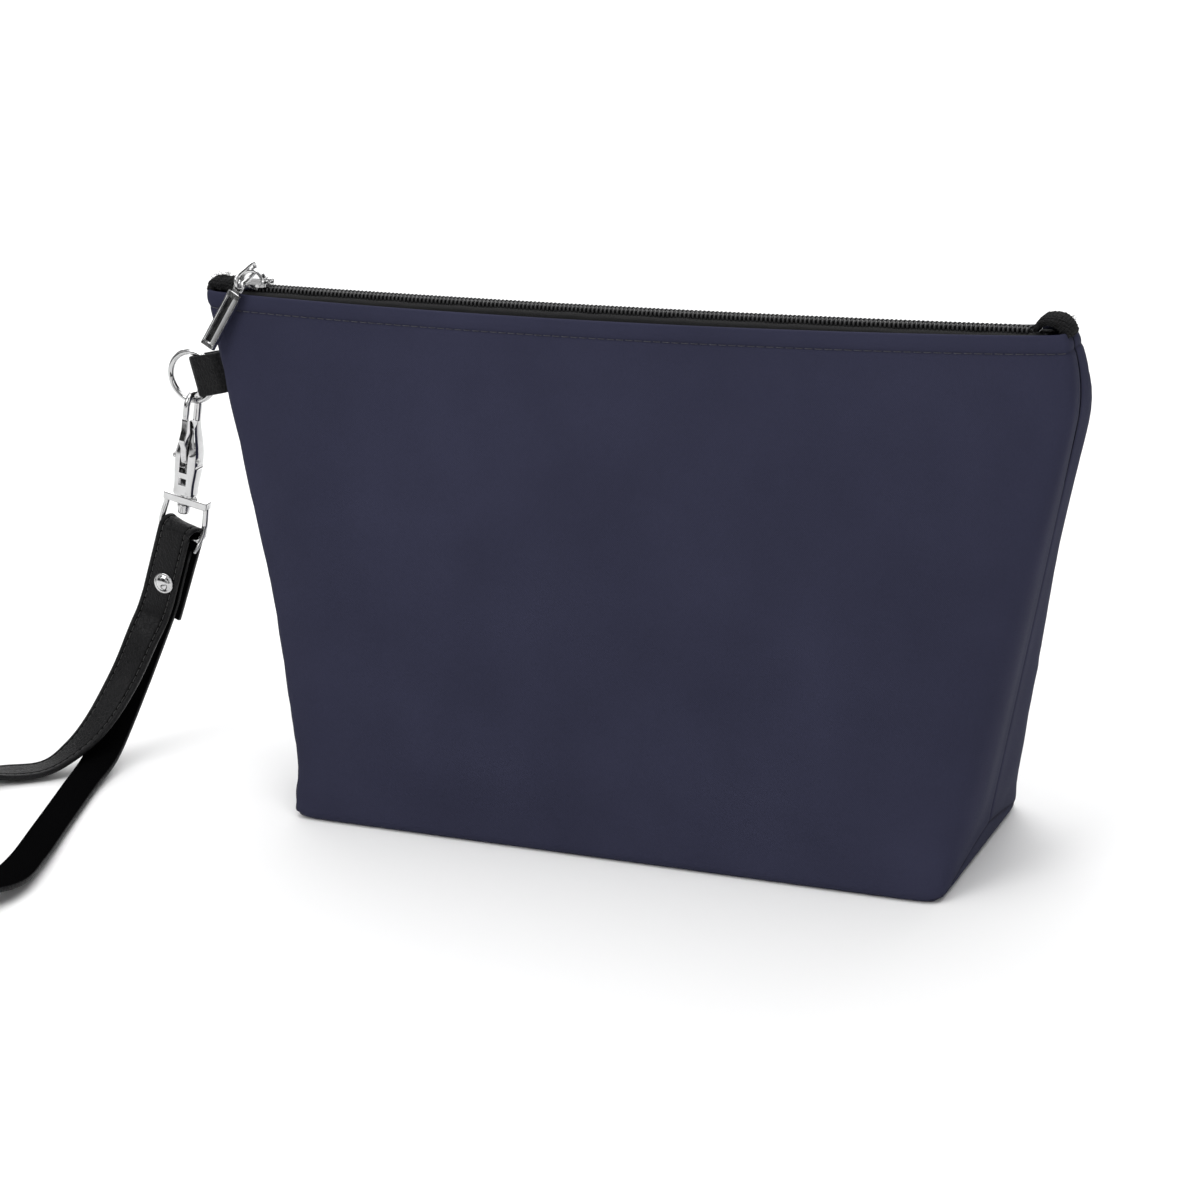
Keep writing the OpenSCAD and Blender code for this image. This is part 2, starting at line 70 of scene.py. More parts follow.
def make_camera():
    a, e, r = (math.radians(v) for v in (AZIMUTH, ELEVATION, ROLL))
    forward = Vector((-math.sin(a) * math.cos(e), math.cos(a) * math.cos(e), -math.sin(e)))
    right = Vector((math.cos(a), math.sin(a), 0))
    up = right.cross(forward)
    right, up = (right * math.cos(r) + up * math.sin(r),
                 up * math.cos(r) - right * math.sin(r))
    data = bpy.data.cameras.new("camera")
    data.lens, data.sensor_width = LENS, 36
    camera = bpy.data.objects.new("camera", data)
    turn = Matrix((right, up, -forward)).transposed().to_4x4()
    camera.matrix_world = Matrix.Translation(CAMERA_AT) @ turn
    bpy.context.collection.objects.link(camera)
    bpy.context.scene.camera = camera


make_camera()


# ---- materials ------------------------------------------------------------
class Nodes:
    """A material's node tree, with short ways to add and join nodes."""

    def __init__(self, name):
        self.material = bpy.data.materials.new(name)
        self.material.use_nodes = True
        self.tree = self.material.node_tree
        self.shader = self.tree.nodes["Principled BSDF"]

    def add(self, kind, **values):
        node = self.tree.nodes.new("ShaderNode" + kind)
        for key, value in values.items():
            if hasattr(node, key):
                setattr(node, key, value)
            else:
                self.put(node, key.replace("_", " "), value)
        return node

    def put(self, node, socket, value):
        target = node.inputs[socket]
        if isinstance(value, bpy.types.NodeSocket):
            self.tree.links.new(value, target)
        else:
            target.default_value = value

    def set(self, **values):
        for key, value in values.items():
            self.put(self.shader, key.replace("_", " "), value)

    def place(self):
        return self.add("TexCoord").outputs["Object"]

    def noise(self, where, scale, detail=3.0, rough=0.5):
        node = self.add("TexNoise", Scale=scale, Detail=detail, Roughness=rough)
        self.put(node, "Vector", where)
        return node.outputs["Fac"]

    def cells(self, where, scale, feature="F1"):
        node = self.add("TexVoronoi", feature=feature)
        self.put(node, "Scale", scale)
        self.put(node, "Vector", where)
        return node.outputs["Distance"]

    def ramp(self, fac, low, high, a=0.0, b=1.0):
        node = self.add("ValToRGB")
        node.color_ramp.elements[0].position = a
        node.color_ramp.elements[1].position = b
        node.color_ramp.elements[0].color = low if len(low) == 4 else (*low, 1)
        node.color_ramp.elements[1].color = high if len(high) == 4 else (*high, 1)
        self.put(node, "Fac", fac)
        return node.outputs["Color"]

    def math(self, operation, a, b=0.0):
        node = self.add("Math", operation=operation)
        self.put(node, 0, a)
        self.put(node, 1, b)
        return node.outputs[0]

    def mix(self, fac, a, b):
        node = self.add("Mix", data_type="RGBA")
        for index, value in ((0, fac), (6, a), (7, b)):
            if isinstance(value, bpy.types.NodeSocket):
                self.tree.links.new(value, node.inputs[index])
            elif index:
                node.inputs[index].default_value = (*value, 1)
            else:
                node.inputs[index].default_value = value
        return node.outputs[2]

    def bump(self, height, strength, distance, under=None):
        node = self.add("Bump", Strength=strength, Distance=distance)
        self.put(node, "Height", height)
        if under is not None:
            self.put(node, "Normal", under)
        return node.outputs["Normal"]

    def attribute(self, name):
        return self.add("Attribute", attribute_name=name).outputs["Fac"]

    def split(self, where):
        return self.add("SeparateXYZ", Vector=where).outputs


NAVY = (0.0330, 0.0341, 0.0610)


def navy_fabric():
    n = Nodes("navy coated fabric")
    at = n.place()
    axes = n.split(at)
    thread = [n.math("SINE", n.math("MULTIPLY", axes[k], 2 * math.pi / (0.62 * MM)))
              for k in (0, 2)]
    weave = n.math("MULTIPLY", thread[0], thread[1])
    grain = n.noise(at, 1700, 4, 0.6)
    patch = n.noise(at, 26, 2, 0.5)
    tone = n.mix(n.ramp(patch, (0, 0, 0), (1, 1, 1), 0.3, 0.75),
                 [c * 0.9 for c in NAVY], [c * 1.12 for c in NAVY])
    tone = n.mix(n.math("MULTIPLY", grain, 0.35), tone, [c * 0.62 for c in NAVY])
    # painted shade: the seam mask turns the fabric near-black in the seam creases, along the
    # topstitch groove and on the strip inside the top edge
    tone = n.mix(n.attribute("seam"), tone, (0.0015, 0.0015, 0.003))
    n.set(Base_Color=tone, Roughness=n.ramp(grain, (0.62,) * 3, (0.78,) * 3, 0.3, 0.7),
          Sheen_Weight=0.008, Sheen_Roughness=0.5, Specular_IOR_Level=0.02)
    low = n.bump(weave, 0.10, 0.00012)
    low = n.bump(grain, 0.22, 0.00020, low)
    n.set(Normal=n.bump(n.noise(at, 60, 2), 0.10, 0.0012, low))
    return n.material


def lining_cloth():
    n = Nodes("lining cloth")
    at = n.place()
    axes = n.split(at)
    weave = n.math("MULTIPLY", *[n.math("SINE", n.math("MULTIPLY", axes[k], 9000.0))
                                 for k in (0, 2)])
    n.set(Base_Color=n.mix(n.noise(at, 90), (0.016, 0.016, 0.021), (0.030, 0.030, 0.037)),
          Roughness=0.8, Normal=n.bump(weave, 0.4, 0.0002))
    return n.material


def woven_tape():
    n = Nodes("woven tape")
    at = n.place()
    axes = n.split(at)
    along = n.math("SINE", n.math("MULTIPLY", axes[0], 2 * math.pi / (0.9 * MM)))
    cross = n.math("SINE", n.math("MULTIPLY", n.math("ADD", axes[1], axes[2]),
                                  2 * math.pi / (0.55 * MM)))
    rib = n.math("MULTIPLY", along, cross)
    fuzz = n.noise(at, 2600, 4, 0.7)
    n.set(Base_Color=n.mix(fuzz, (0.0025, 0.0025, 0.003), (0.016, 0.016, 0.017)),
          Roughness=0.85, Sheen_Weight=0.05, Sheen_Roughness=0.6,
          Specular_IOR_Level=0.12)
    n.set(Normal=n.bump(fuzz, 0.5, 0.00025, n.bump(rib, 0.7, 0.00025)))
    return n.material


def coil_nylon():
    n = Nodes("coil nylon")
    at = n.place()
    n.set(Base_Color=n.mix(n.noise(at, 900), (0.004, 0.004, 0.0045), (0.018, 0.018, 0.019)),
          Roughness=n.ramp(n.noise(at, 500), (0.34,) * 3, (0.55,) * 3),
          Specular_IOR_Level=0.32)
    n.set(Normal=n.bump(n.noise(at, 3000, 2), 0.15, 0.0001))
    return n.material


def black_leather():
    n = Nodes("black leather")
    at = n.place()
    stretched = n.add("VectorMath", operation="MULTIPLY")
    n.put(stretched, 0, at)
    n.put(stretched, 1, (1.0, 1.0, 0.7))
    where = stretched.outputs[0]
    pores = n.cells(where, 1700)
    creases = n.cells(where, 900, "DISTANCE_TO_EDGE")
    wear = n.noise(at, 300, 4, 0.6)
    face = n.mix(wear, (0.0014, 0.0014, 0.0018), (0.0055, 0.0055, 0.0064))
    inner = n.attribute("inner")
    tone = n.mix(inner, face, (0.0022, 0.0022, 0.0024))
    # painted shade: the seam mask darkens the stitch grooves of the strap and tab
    tone = n.mix(n.math("MULTIPLY", n.attribute("seam"), 0.85), tone, (0.001, 0.001, 0.001))
    rough = n.ramp(wear, (0.36,) * 3, (0.52,) * 3, 0.35, 0.7)
    n.set(Base_Color=tone, Roughness=n.mix(inner, rough, (0.72,) * 3),
          Specular_IOR_Level=n.ramp(n.math("ADD", inner, n.attribute("seam")),
                                    (0.19,) * 3, (0.0,) * 3, 0.0, 0.8))
    normal = n.bump(n.ramp(creases, (0, 0, 0), (1, 1, 1), 0.0, 0.12), 0.55, 0.00022)
    normal = n.bump(pores, 0.45, 0.00018, normal)
    n.set(Normal=n.bump(n.noise(at, 220, 3), 0.35, 0.0006, normal))
    return n.material


def thread(name, dark, light):
    n = Nodes(name)
    at = n.place()
    axes = n.split(at)
    twist = n.math("SINE", n.math("MULTIPLY", n.math("ADD", axes[0], axes[2]), 14000.0))
    n.set(Base_Color=n.mix(n.noise(at, 1500), dark, light), Roughness=0.6,
          Sheen_Weight=0.3, Normal=n.bump(twist, 0.5, 0.0001))
    return n.material


def bright_metal(name="bright plated metal", shade=0.60, rough=(0.06, 0.18)):
    n = Nodes(name)
    at = n.place()
    smear = n.noise(at, 420, 4, 0.6)
    tone = n.mix(n.ramp(smear, (0, 0, 0), (1, 1, 1), 0.35, 0.7),
                 (shade * 0.90,) * 3, (shade, shade, shade * 1.01))
    n.set(Base_Color=tone, Metallic=1.0,
          Roughness=n.ramp(smear, (rough[0],) * 3, (rough[1],) * 3, 0.3, 0.75))
    n.set(Normal=n.bump(n.noise(at, 900, 3), 0.05, 0.0002,
                        n.bump(n.noise(at, 240, 2), 0.12, 0.0004)))
    return n.material


FABRIC, LINING, TAPE, NYLON = navy_fabric(), lining_cloth(), woven_tape(), coil_nylon()
LEATHER = black_leather()
METAL = bright_metal()
SPRING = bright_metal("spring steel", 0.45, (0.25, 0.4))
NAVY_THREAD = thread("navy thread", (0.008, 0.008, 0.016), (0.022, 0.022, 0.040))
BLACK_THREAD = thread("black thread", (0.008, 0.008, 0.008), (0.035, 0.035, 0.036))


# ---- mesh helpers ---------------------------------------------------------
def make(name, points, faces, material, attributes=None):
    mesh = bpy.data.meshes.new(name)
    mesh.from_pydata([tuple(p) for p in points], [], [tuple(f) for f in faces])
    mesh.validate()
    for key, values in (attributes or {}).items():
        layer = mesh.attributes.new(key, "FLOAT", "POINT")
        layer.data.foreach_set("value", np.asarray(values, np.float32))
    mesh.materials.append(material)
    mesh.shade_smooth()
    obj = bpy.data.objects.new(name, mesh)
    bpy.context.collection.objects.link(obj)
    return obj


def join(name, parts, material, attributes=None):
    """One object from several (points, faces) pairs."""
    points, faces, base = [], [], 0
    for p, f in parts:
        points.append(np.asarray(p, float).reshape(-1, 3))
        faces += [tuple(i + base for i in face) for face in f]
        base += len(points[-1])
    return make(name, np.concatenate(points), faces, material, attributes)


def skin(rows, sides, ends=True):
    """Faces between rings of points that follow one another."""
    faces = [(k * sides + i, k * sides + (i + 1) % sides,
              (k + 1) * sides + (i + 1) % sides, (k + 1) * sides + i)
             for k in range(rows - 1) for i in range(sides)]
    if ends:
        faces += [tuple(range(sides - 1, -1, -1)),
                  tuple(range((rows - 1) * sides, rows * sides))]
    return faces


def angles(count):
    """Even steps round a full turn."""
    return np.arange(count) * 2 * math.pi / count


def power(v, p):
    """v to the power p, with its sign kept."""
    return np.sign(v) * np.abs(v) ** p


def bake(obj):
    """Apply the object's modifiers to its mesh."""
    graph = bpy.context.evaluated_depsgraph_get()
    mesh = bpy.data.meshes.new_from_object(obj.evaluated_get(graph))
    obj.modifiers.clear()
    obj.data = mesh
    return obj


def subdivide(obj, levels=1):
    m = obj.modifiers.new("subdivide", "SUBSURF")
    m.levels = m.render_levels = levels
    return bake(obj)


def soften(obj, width, segments=3, angle=30):
    """Round the object's edges, then shade it smooth with sharp creases kept."""
    m = obj.modifiers.new("bevel", "BEVEL")
    m.width, m.segments = width, segments
    m.limit_method, m.angle_limit = "ANGLE", math.radians(angle)
    m.harden_normals = True
    bake(obj)
    obj.data.shade_smooth()
    return obj


def combine(obj, tools, operation):
    """Cut the tools out of the object (DIFFERENCE) or fuse them to it (UNION)."""
    for tool in tools:
        m = obj.modifiers.new("combine", "BOOLEAN")
        m.operation, m.object, m.solver = operation, tool, "EXACT"
    bake(obj)
    for tool in tools:
        bpy.data.objects.remove(tool, do_unlink=True)
    return obj


def merge(obj, other):
    """Put the other object's mesh into the first object, as it is."""
    with bpy.context.temp_override(active_object=obj, selected_editable_objects=[obj, other],
                                   selected_objects=[obj, other], object=obj):
        bpy.ops.object.join()


def moved(obj, matrix):
    obj.data.transform(matrix)
    return obj


def unit(v):
    return v / np.maximum(np.linalg.norm(v, axis=-1, keepdims=True), 1e-12)


def spline(points, steps):
    """Catmull-Rom line through the points."""
    p = np.asarray(points, float)
    p = np.vstack([2 * p[0] - p[1], p, 2 * p[-1] - p[-2]])
    out = []
    for i in range(1, len(p) - 2):
        a, b, c, d = p[i - 1:i + 3]
        for t in np.arange(steps) / steps:
            out.append(0.5 * (2 * b + (c - a) * t + (2 * a - 5 * b + 4 * c - d) * t ** 2
                              + (3 * b - a - 3 * c + d) * t ** 3))
    out.append(p[-2])
    return np.array(out)


def sweep(line, across, section):
    """Points and faces of a section carried along a line. Each section point is
    (share along `across`, share along tangent x across), in metres."""
    line, across = np.asarray(line, float), np.asarray(across, float)
    tangent = unit(np.gradient(line, axis=0))
    across = unit(across - (across * tangent).sum(1, keepdims=True) * tangent)
    out = np.cross(tangent, across)
    section = np.asarray(section, float)
    if section.ndim == 2:
        section = np.repeat(section[None], len(line), 0)
    m = section.shape[1]
    points = (line[:, None] + section[..., :1] * across[:, None]
              + section[..., 1:] * out[:, None]).reshape(-1, 3)
    return points, skin(len(line), m)


def tube(line, radius, sides=16, taper=None):
    """Points and faces of a round wire along a line, with domed ends."""
    line = np.asarray(line, float)
    tangent = unit(np.gradient(line, axis=0))
    across = [unit(np.cross(tangent[0], (0.31, 0.47, 0.83)))]
    for t in tangent[1:]:
        across.append(unit(across[-1] - (across[-1] @ t) * t))
    radii = np.full(len(line), float(radius)) * (1 if taper is None else taper)
    cap = np.array([0.0, 0.5, 0.85, 1.0])
    start = [line[0] - tangent[0] * radii[0] * math.sqrt(1 - c * c) for c in cap[:-1]]
    end = [line[-1] + tangent[-1] * radii[-1] * math.sqrt(1 - c * c) for c in cap[-2::-1]]
    line = np.array([*start, *line, *end])
    radii = np.concatenate([cap[:-1] * radii[0], radii, cap[-2::-1] * radii[-1]])
    radii = np.maximum(radii, 1e-6)
    across = np.array([across[0]] * 3 + across + [across[-1]] * 3)
    tangent = np.concatenate([tangent[:1]] * 3 + [tangent] + [tangent[-1:]] * 3)
    other = np.cross(tangent, across)
    a = angles(sides)
    ring = (np.cos(a)[None, :, None] * across[:, None]
            + np.sin(a)[None, :, None] * other[:, None])
    points = (line[:, None] + radii[:, None, None] * ring).reshape(-1, 3)
    return points, skin(len(line), sides)


def lathe(profile, steps=48):
    """Points and faces of a profile of (radius, height) turned about local Z."""
    points = [(r * math.cos(t), r * math.sin(t), z) for r, z in profile for t in angles(steps)]
    return points, skin(len(profile), steps)


def block(low, high):
    """Points and faces of a box."""
    points = [(x, y, z) for x in (low[0], high[0]) for y in (low[1], high[1])
              for z in (low[2], high[2])]
    return points, [(0, 1, 3, 2), (4, 6, 7, 5), (0, 4, 5, 1), (2, 3, 7, 6),
                    (0, 2, 6, 4), (1, 5, 7, 3)]


def stitches(line, out, pitch, length, radius):
    """Short threads laid along a line, sunk at both ends. `out` is the way up."""
    line, out = np.asarray(line, float), unit(np.asarray(out, float))
    gone = np.concatenate([[0], np.cumsum(np.linalg.norm(np.diff(line, axis=0), axis=1))])

    def at(values, s):
        return np.array([np.interp(s, gone, values[:, k]) for k in range(3)]).T

    parts = []
    for s in np.arange(0.5 * pitch, gone[-1] - 0.5 * pitch, pitch):
        t = np.linspace(-0.5, 0.5, 6)
        places = at(line, s + t * length)
        lift = radius * (0.75 - 6.0 * np.maximum(0, np.abs(t) - 0.3))
        parts.append(tube(places + at(out, s + t * length) * lift[:, None], radius, 7))
    return parts


# ---- wrist strap ----------------------------------------------------------
STRAP_W, STRAP_T = 12.2 * MM, 1.8 * MM
STRAP_LEAN = math.radians(20)
FOLD_GAP, FOLD_CREST, BACK_END, FRONT_END = 3 * MM, 2.8 * MM, -31 * MM, -24 * MM
BACK_SHIFT, FRONT_SHIFT = (-0.4 * MM, 0.8 * MM), (-1.6 * MM, -1.9 * MM)  # along the bar
THREAD_IN, GROOVE = 1.88 * MM, 0.36 * MM  # from the strap's edge, and its depth
LEG_Y = (FOLD_GAP + STRAP_T) / 2
STRAP_BAR = joint_at("strap_swing")
ACROSS = (math.cos(STRAP_LEAN), 0, -math.sin(STRAP_LEAN))


def strap_route():
    """Middle line of the strap and the way its width points: from the tab behind,
    over the loop's bar, round the wrist loop, and back up between the two legs."""
    head = np.array(STRAP_BAR)
    down = np.array((-math.sin(STRAP_LEAN), 0, -math.cos(STRAP_LEAN)))
    across = np.array(ACROSS)
    crest = FOLD_CREST - FOLD_GAP / 2
    back = [head + np.array([0, LEG_Y, 0]) - down * z + across * shift
            for z, shift in zip(np.linspace(BACK_END, crest, 16), np.linspace(*BACK_SHIFT, 16))]
    over = [head + np.array([0, LEG_Y * math.cos(a), 0])
            - down * (crest + LEG_Y * math.sin(a)) + across * (-0.4 + 1.2 * math.cos(a)) * MM
            for a in np.linspace(0, math.pi, 15)[1:-1]]
    front = [head + np.array([0, -LEG_Y, 0]) - down * z + across * shift
             for z, shift in zip(np.linspace(crest, FRONT_END, 14),
                                 np.linspace(*FRONT_SHIFT, 14))]
    doubled = np.array(back + over + front)
    loop = np.array([
        head + np.array([0, -LEG_Y, 0]) - FRONT_END * down + FRONT_SHIFT[1] * across,
        head + np.array([0, -LEG_Y - 0.3 * MM, 0]) + 31 * MM * down - 2.4 * MM * across,
        *np.array([
            (-182, -6.5, 42.5), (-187.3, -12, 29), (-193, -21.5, 16), (-200.5, -29, 7),
            (-208, -36, 2.6), (-220, -44, 3.1), (-235, -54, 5.7), (-246, -72, 6.6),
            (-246, -93, 6.6), (-238, -116, 6.6), (-222, -137, 6.6), (-203, -147, 6.6),
            (-184, -146, 6.5), (-170, -136, 6.3), (-163.5, -121, 4.8), (-168, -102, 3),
            (-177.5, -75, 1.8), (-187.5, -44, 1.8), (-191, -26, 4.5), (-191.5, -14, 12.5),
            (-189, -5, 25), (-185.5, -1, 35.5)]) * MM,
        head + 27 * MM * down - 1.4 * MM * across, head + 18 * MM * down - 1.2 * MM * across,
        head + 4 * MM * down - 1.0 * MM * across])
    widths = np.array([
        across, across, (0.93, -0.1, -0.35), (0.88, -0.25, -0.38), (0.78, -0.5, -0.35),
        (0.6, -0.78, -0.2), (0.45, -0.9, 0), (0.42, -0.88, 0.12), (0.3, -0.6, 0.75),
        (0, 0, 1), (0, 0, 1), (0, 0, 1), (0, 0, 1), (0.1, 0.1, 1), (0.5, -0.3, 0.75),
        (0.8, -0.45, 0.3), (0.93, -0.27, -0.08), (0.98, 0, -0.02), (0.98, 0.2, 0),
        (0.98, 0.2, 0), (0.97, 0.1, -0.1), (0.96, 0, -0.25), (0.95, 0, -0.3),
        across, across, across, across])
    line = np.vstack([doubled[:-1], spline(loop, 10)])
    wide = np.vstack([np.repeat(across[None], len(doubled) - 1, 0), spline(widths, 10)])
    return line, wide


def strap_section():
    """The strap cut across, counter-clockwise: grooved outer face above, plain inner
    face below."""
    w, t = STRAP_W / 2, STRAP_T / 2
    groove = [(-w + 2.35 * MM, t), (-w + 2.1 * MM, t - GROOVE),
              (-w + 1.65 * MM, t - 0.38 * MM), (-w + 1.35 * MM, t),
              (-w + 0.45 * MM, t - 0.02 * MM), (-w + 0.12 * MM, t - 0.3 * MM)]
    outer = [(-x, y) for x, y in groove[::-1]]
    middle = [(x, t + 0.10 * MM * (1 - (x / w) ** 2)) for x in np.linspace(3.4, -3.4, 6) * MM]
    inner = [(-w, 0), (-w + 0.15 * MM, -t + 0.25 * MM), (-w + 0.5 * MM, -t),
             (-1.8 * MM, -t), (1.8 * MM, -t), (w - 0.5 * MM, -t),
             (w - 0.15 * MM, -t + 0.25 * MM), (w, 0)]
    return np.array(outer + middle + groove + inner)


def make_strap():
    line, wide = strap_route()
    section = strap_section()
    points, faces = sweep(line, wide, section)
    # mask of the stitch grooves, which black_leather paints dark as painted shade
    groove = np.isclose(section[:, 1], STRAP_T / 2 - 0.37 * MM, atol=2e-5)
    inner = section[:, 1] < -STRAP_T / 2 + 0.1 * MM
    strap = make("strap", points, faces, LEATHER,
                 {"seam": np.tile(groove, len(line)), "inner": np.tile(inner, len(line))})
    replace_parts(strap, "wrist_strap", "strap_fold")
    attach(strap, "strap")

    # threads along both grooves, from the tab round to the end between the legs
    tangent = unit(np.gradient(line, axis=0))
    wide = unit(wide - (wide * tangent).sum(1, keepdims=True) * tangent)
    out = np.cross(tangent, wide)
    parts = []
    for side in (-1, 1):
        row = (line + side * (STRAP_W / 2 - THREAD_IN) * wide
               + (STRAP_T / 2 - GROOVE) * out)
        parts += stitches(row, out, 2.6 * MM, 2.0 * MM, 0.15 * MM)
    threads = join("strap_stitches", parts, BLACK_THREAD)
    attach(threads, "strap")

    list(make_rivet())


def make_rivet():
    """Domed caps on both faces of the doubled end, on the CAD post."""
    low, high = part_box("rivet_post")
    middle = (low + high) / 2
    flat = FOLD_GAP / 2 + STRAP_T
    profile = [(3.6, 0), (3.62, 0.25), (3.5, 0.5), (3.25, 0.56), (3.0, 0.44), (2.86, 0.46),
               (2.6, 0.78), (2.2, 1.02), (1.6, 1.24), (0.9, 1.37), (0.001, 1.41)]
    caps = []
    for side, node in ((-1, "rivet_cap_front"), (1, "rivet_cap_back")):
        points, faces = lathe([(r * MM, z * MM) for r, z in profile], 64)
        cap = make(node + "_domed", points, faces, METAL)
        turn = Matrix.Rotation(math.radians(-90 * side), 4, "X")
        moved(cap, Matrix.Translation(middle) @ Matrix.Rotation(STRAP_LEAN, 4, "Y")
              @ Matrix.Translation((0, side * flat, 0)) @ turn)
        caps.append(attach(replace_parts(cap, node), "strap"))
    return caps


make_strap()


# ---- pouch ----------------------------------------------------------------
BASE_W, TOP_W, BASE_D, BODY_H = 216.5 * MM, 288 * MM, 84 * MM, 161 * MM
MOUTH, LEAN, BASE_R, SHELL = 7.5 * MM, -1 * MM, 3 * MM, 1.6 * MM
CORNER_IN, CORNER_H = 7.5 * MM, 26 * MM
FRONT_CRISP, BACK_CRISP = 24, 5    # how square the corners are at the base
BOX_SEAM = 9 * MM          # height of the boxed corner's seam at its middle
STITCH_DOWN = 4.2 * MM     # topstitching, below the fabric's edge
NEAR = np.array([0, 0.3, 0.6, 0.9, 1.25, 1.7, 2.3, 3.1, 4.2, 5.8, 8, 11]) * MM  # columns
PRESSURE, CAGE_STEP, SWELL_MAX, FRAMES = 4, 5 * MM, 2.6 * MM, 20   # the cloth simulation


def plan(z, off=0.0, crisp=14):
    """Half width, half depth, squareness and middle of the pouch's plan at height z.
    off is how far it lies inside the outer face, and crisp squares the base corners."""
    f = min(max(z / BODY_H, 0), 1)
    fold = 0 if z >= BASE_R else BASE_R - math.sqrt(max(0, 2 * BASE_R * z - z * z))
    w = BASE_W / 2 + (TOP_W - BASE_W) / 2 * f
    rounded = CORNER_IN * (max(0, z - BODY_H + CORNER_H) / CORNER_H) ** 2
    d = MOUTH + (BASE_D / 2 - MOUTH) * (1 - f ** 1.15)
    square = 11 - 15.6 * f * (1 - f) + crisp * max(0, 1 - z / (16 * MM)) ** 2
    return (w - rounded / 2 - fold - off, d - fold - off, square, LEAN * f - rounded / 2)


def plan_outline(turn, w, d, m):
    """x and y of a rounded rectangle at the angles in turn."""
    r = (np.abs(np.cos(turn)) ** m + np.abs(np.sin(turn)) ** m) ** (-1 / m)
    return w * np.cos(turn) * r, d * np.sin(turn) * r


def edge_rise(x):
    """The fabric's edge sags between its ends."""
    t = x / (TOP_W / 2)
    return (-1.7 + 3.0 * t * t + 0.5 * t) * MM


def row(z, deep, off, middle_columns, crisp):
    """One row of the front half, from the left seam to the right seam, with how far
    each point lies along it, and its length."""
    w, d, m, mid = plan(z, off, crisp)
    x, y = plan_outline(math.pi + math.pi * np.linspace(0, 1, 1601), w, deep * d, m)
    gone = np.concatenate([[0], np.cumsum(np.hypot(np.diff(x), np.diff(y)))])
    near = NEAR * min(1, gone[-1] / (4 * NEAR[-1]))
    at = np.concatenate([near, np.linspace(near[-1], gone[-1] - near[-1],
                                           middle_columns + 2)[1:-1],
                         gone[-1] - near[::-1]])
    return np.stack([np.interp(at, gone, x) + mid, np.interp(at, gone, y),
                     np.full(len(at), max(z, off))], 1), at, gone[-1]


def shell_rows(off, fine):
    """(z, deep, off) for the rows from the middle of the base to the top edge."""
    rows = [(0, s, off) for s in np.concatenate([
        np.array([0, 0.012, 0.026, 0.045, 0.07]), np.linspace(0.12, 1, 7 if fine else 4)])]
    rows += [(BASE_R * (1 - math.cos(a)), 1, off) for a in np.linspace(0, 1.2, 9)[1:]]
    low = rows[-1][0]
    steps = np.linspace(low, 14 * MM, 24) if fine else np.linspace(low, 14 * MM, 5)
    rows += [(z, 1, off) for z in steps[1:]]
    rows += [(z, 1, off) for z in np.linspace(14 * MM, 150 * MM, 44 if fine else 20)[1:]]
    rows += [(z, 1, off) for z in np.linspace(150 * MM, BODY_H, 22 if fine else 6)[1:]]
    return rows


def soft_hill(value, middle, width):
    return np.exp(-((value - middle) / width) ** 2)


def smoothstep(value, low, high):
    t = np.clip((value - low) / (high - low), 0, 1)
    return t * t * (3 - 2 * t)


def drape(points):
    """How far the stuffed fabric swells or sinks, by place on the panel."""
    x, z = points[..., 0], points[..., 2]
    f = np.clip(z / BODY_H, 0, 1)
    inside = np.sin(np.pi * np.clip(f, 0, 1)) ** 0.8
    swell = 1.3 * soft_hill(x, 10 * MM, 75 * MM) * soft_hill(f, 0.62, 0.34)
    pull = (0.55 * np.sin(x * 34 + 1.3 + 4 * f) * inside
            + 0.35 * np.sin(x * 71 - 2.0 + 7 * f) * inside
            + 0.30 * np.sin(z * 95 + x * 12) * inside)
    corner = -0.9 * soft_hill(x, -121 * MM, 11 * MM) * soft_hill(f, 0.8, 0.28)
    return (swell + pull + corner) * MM


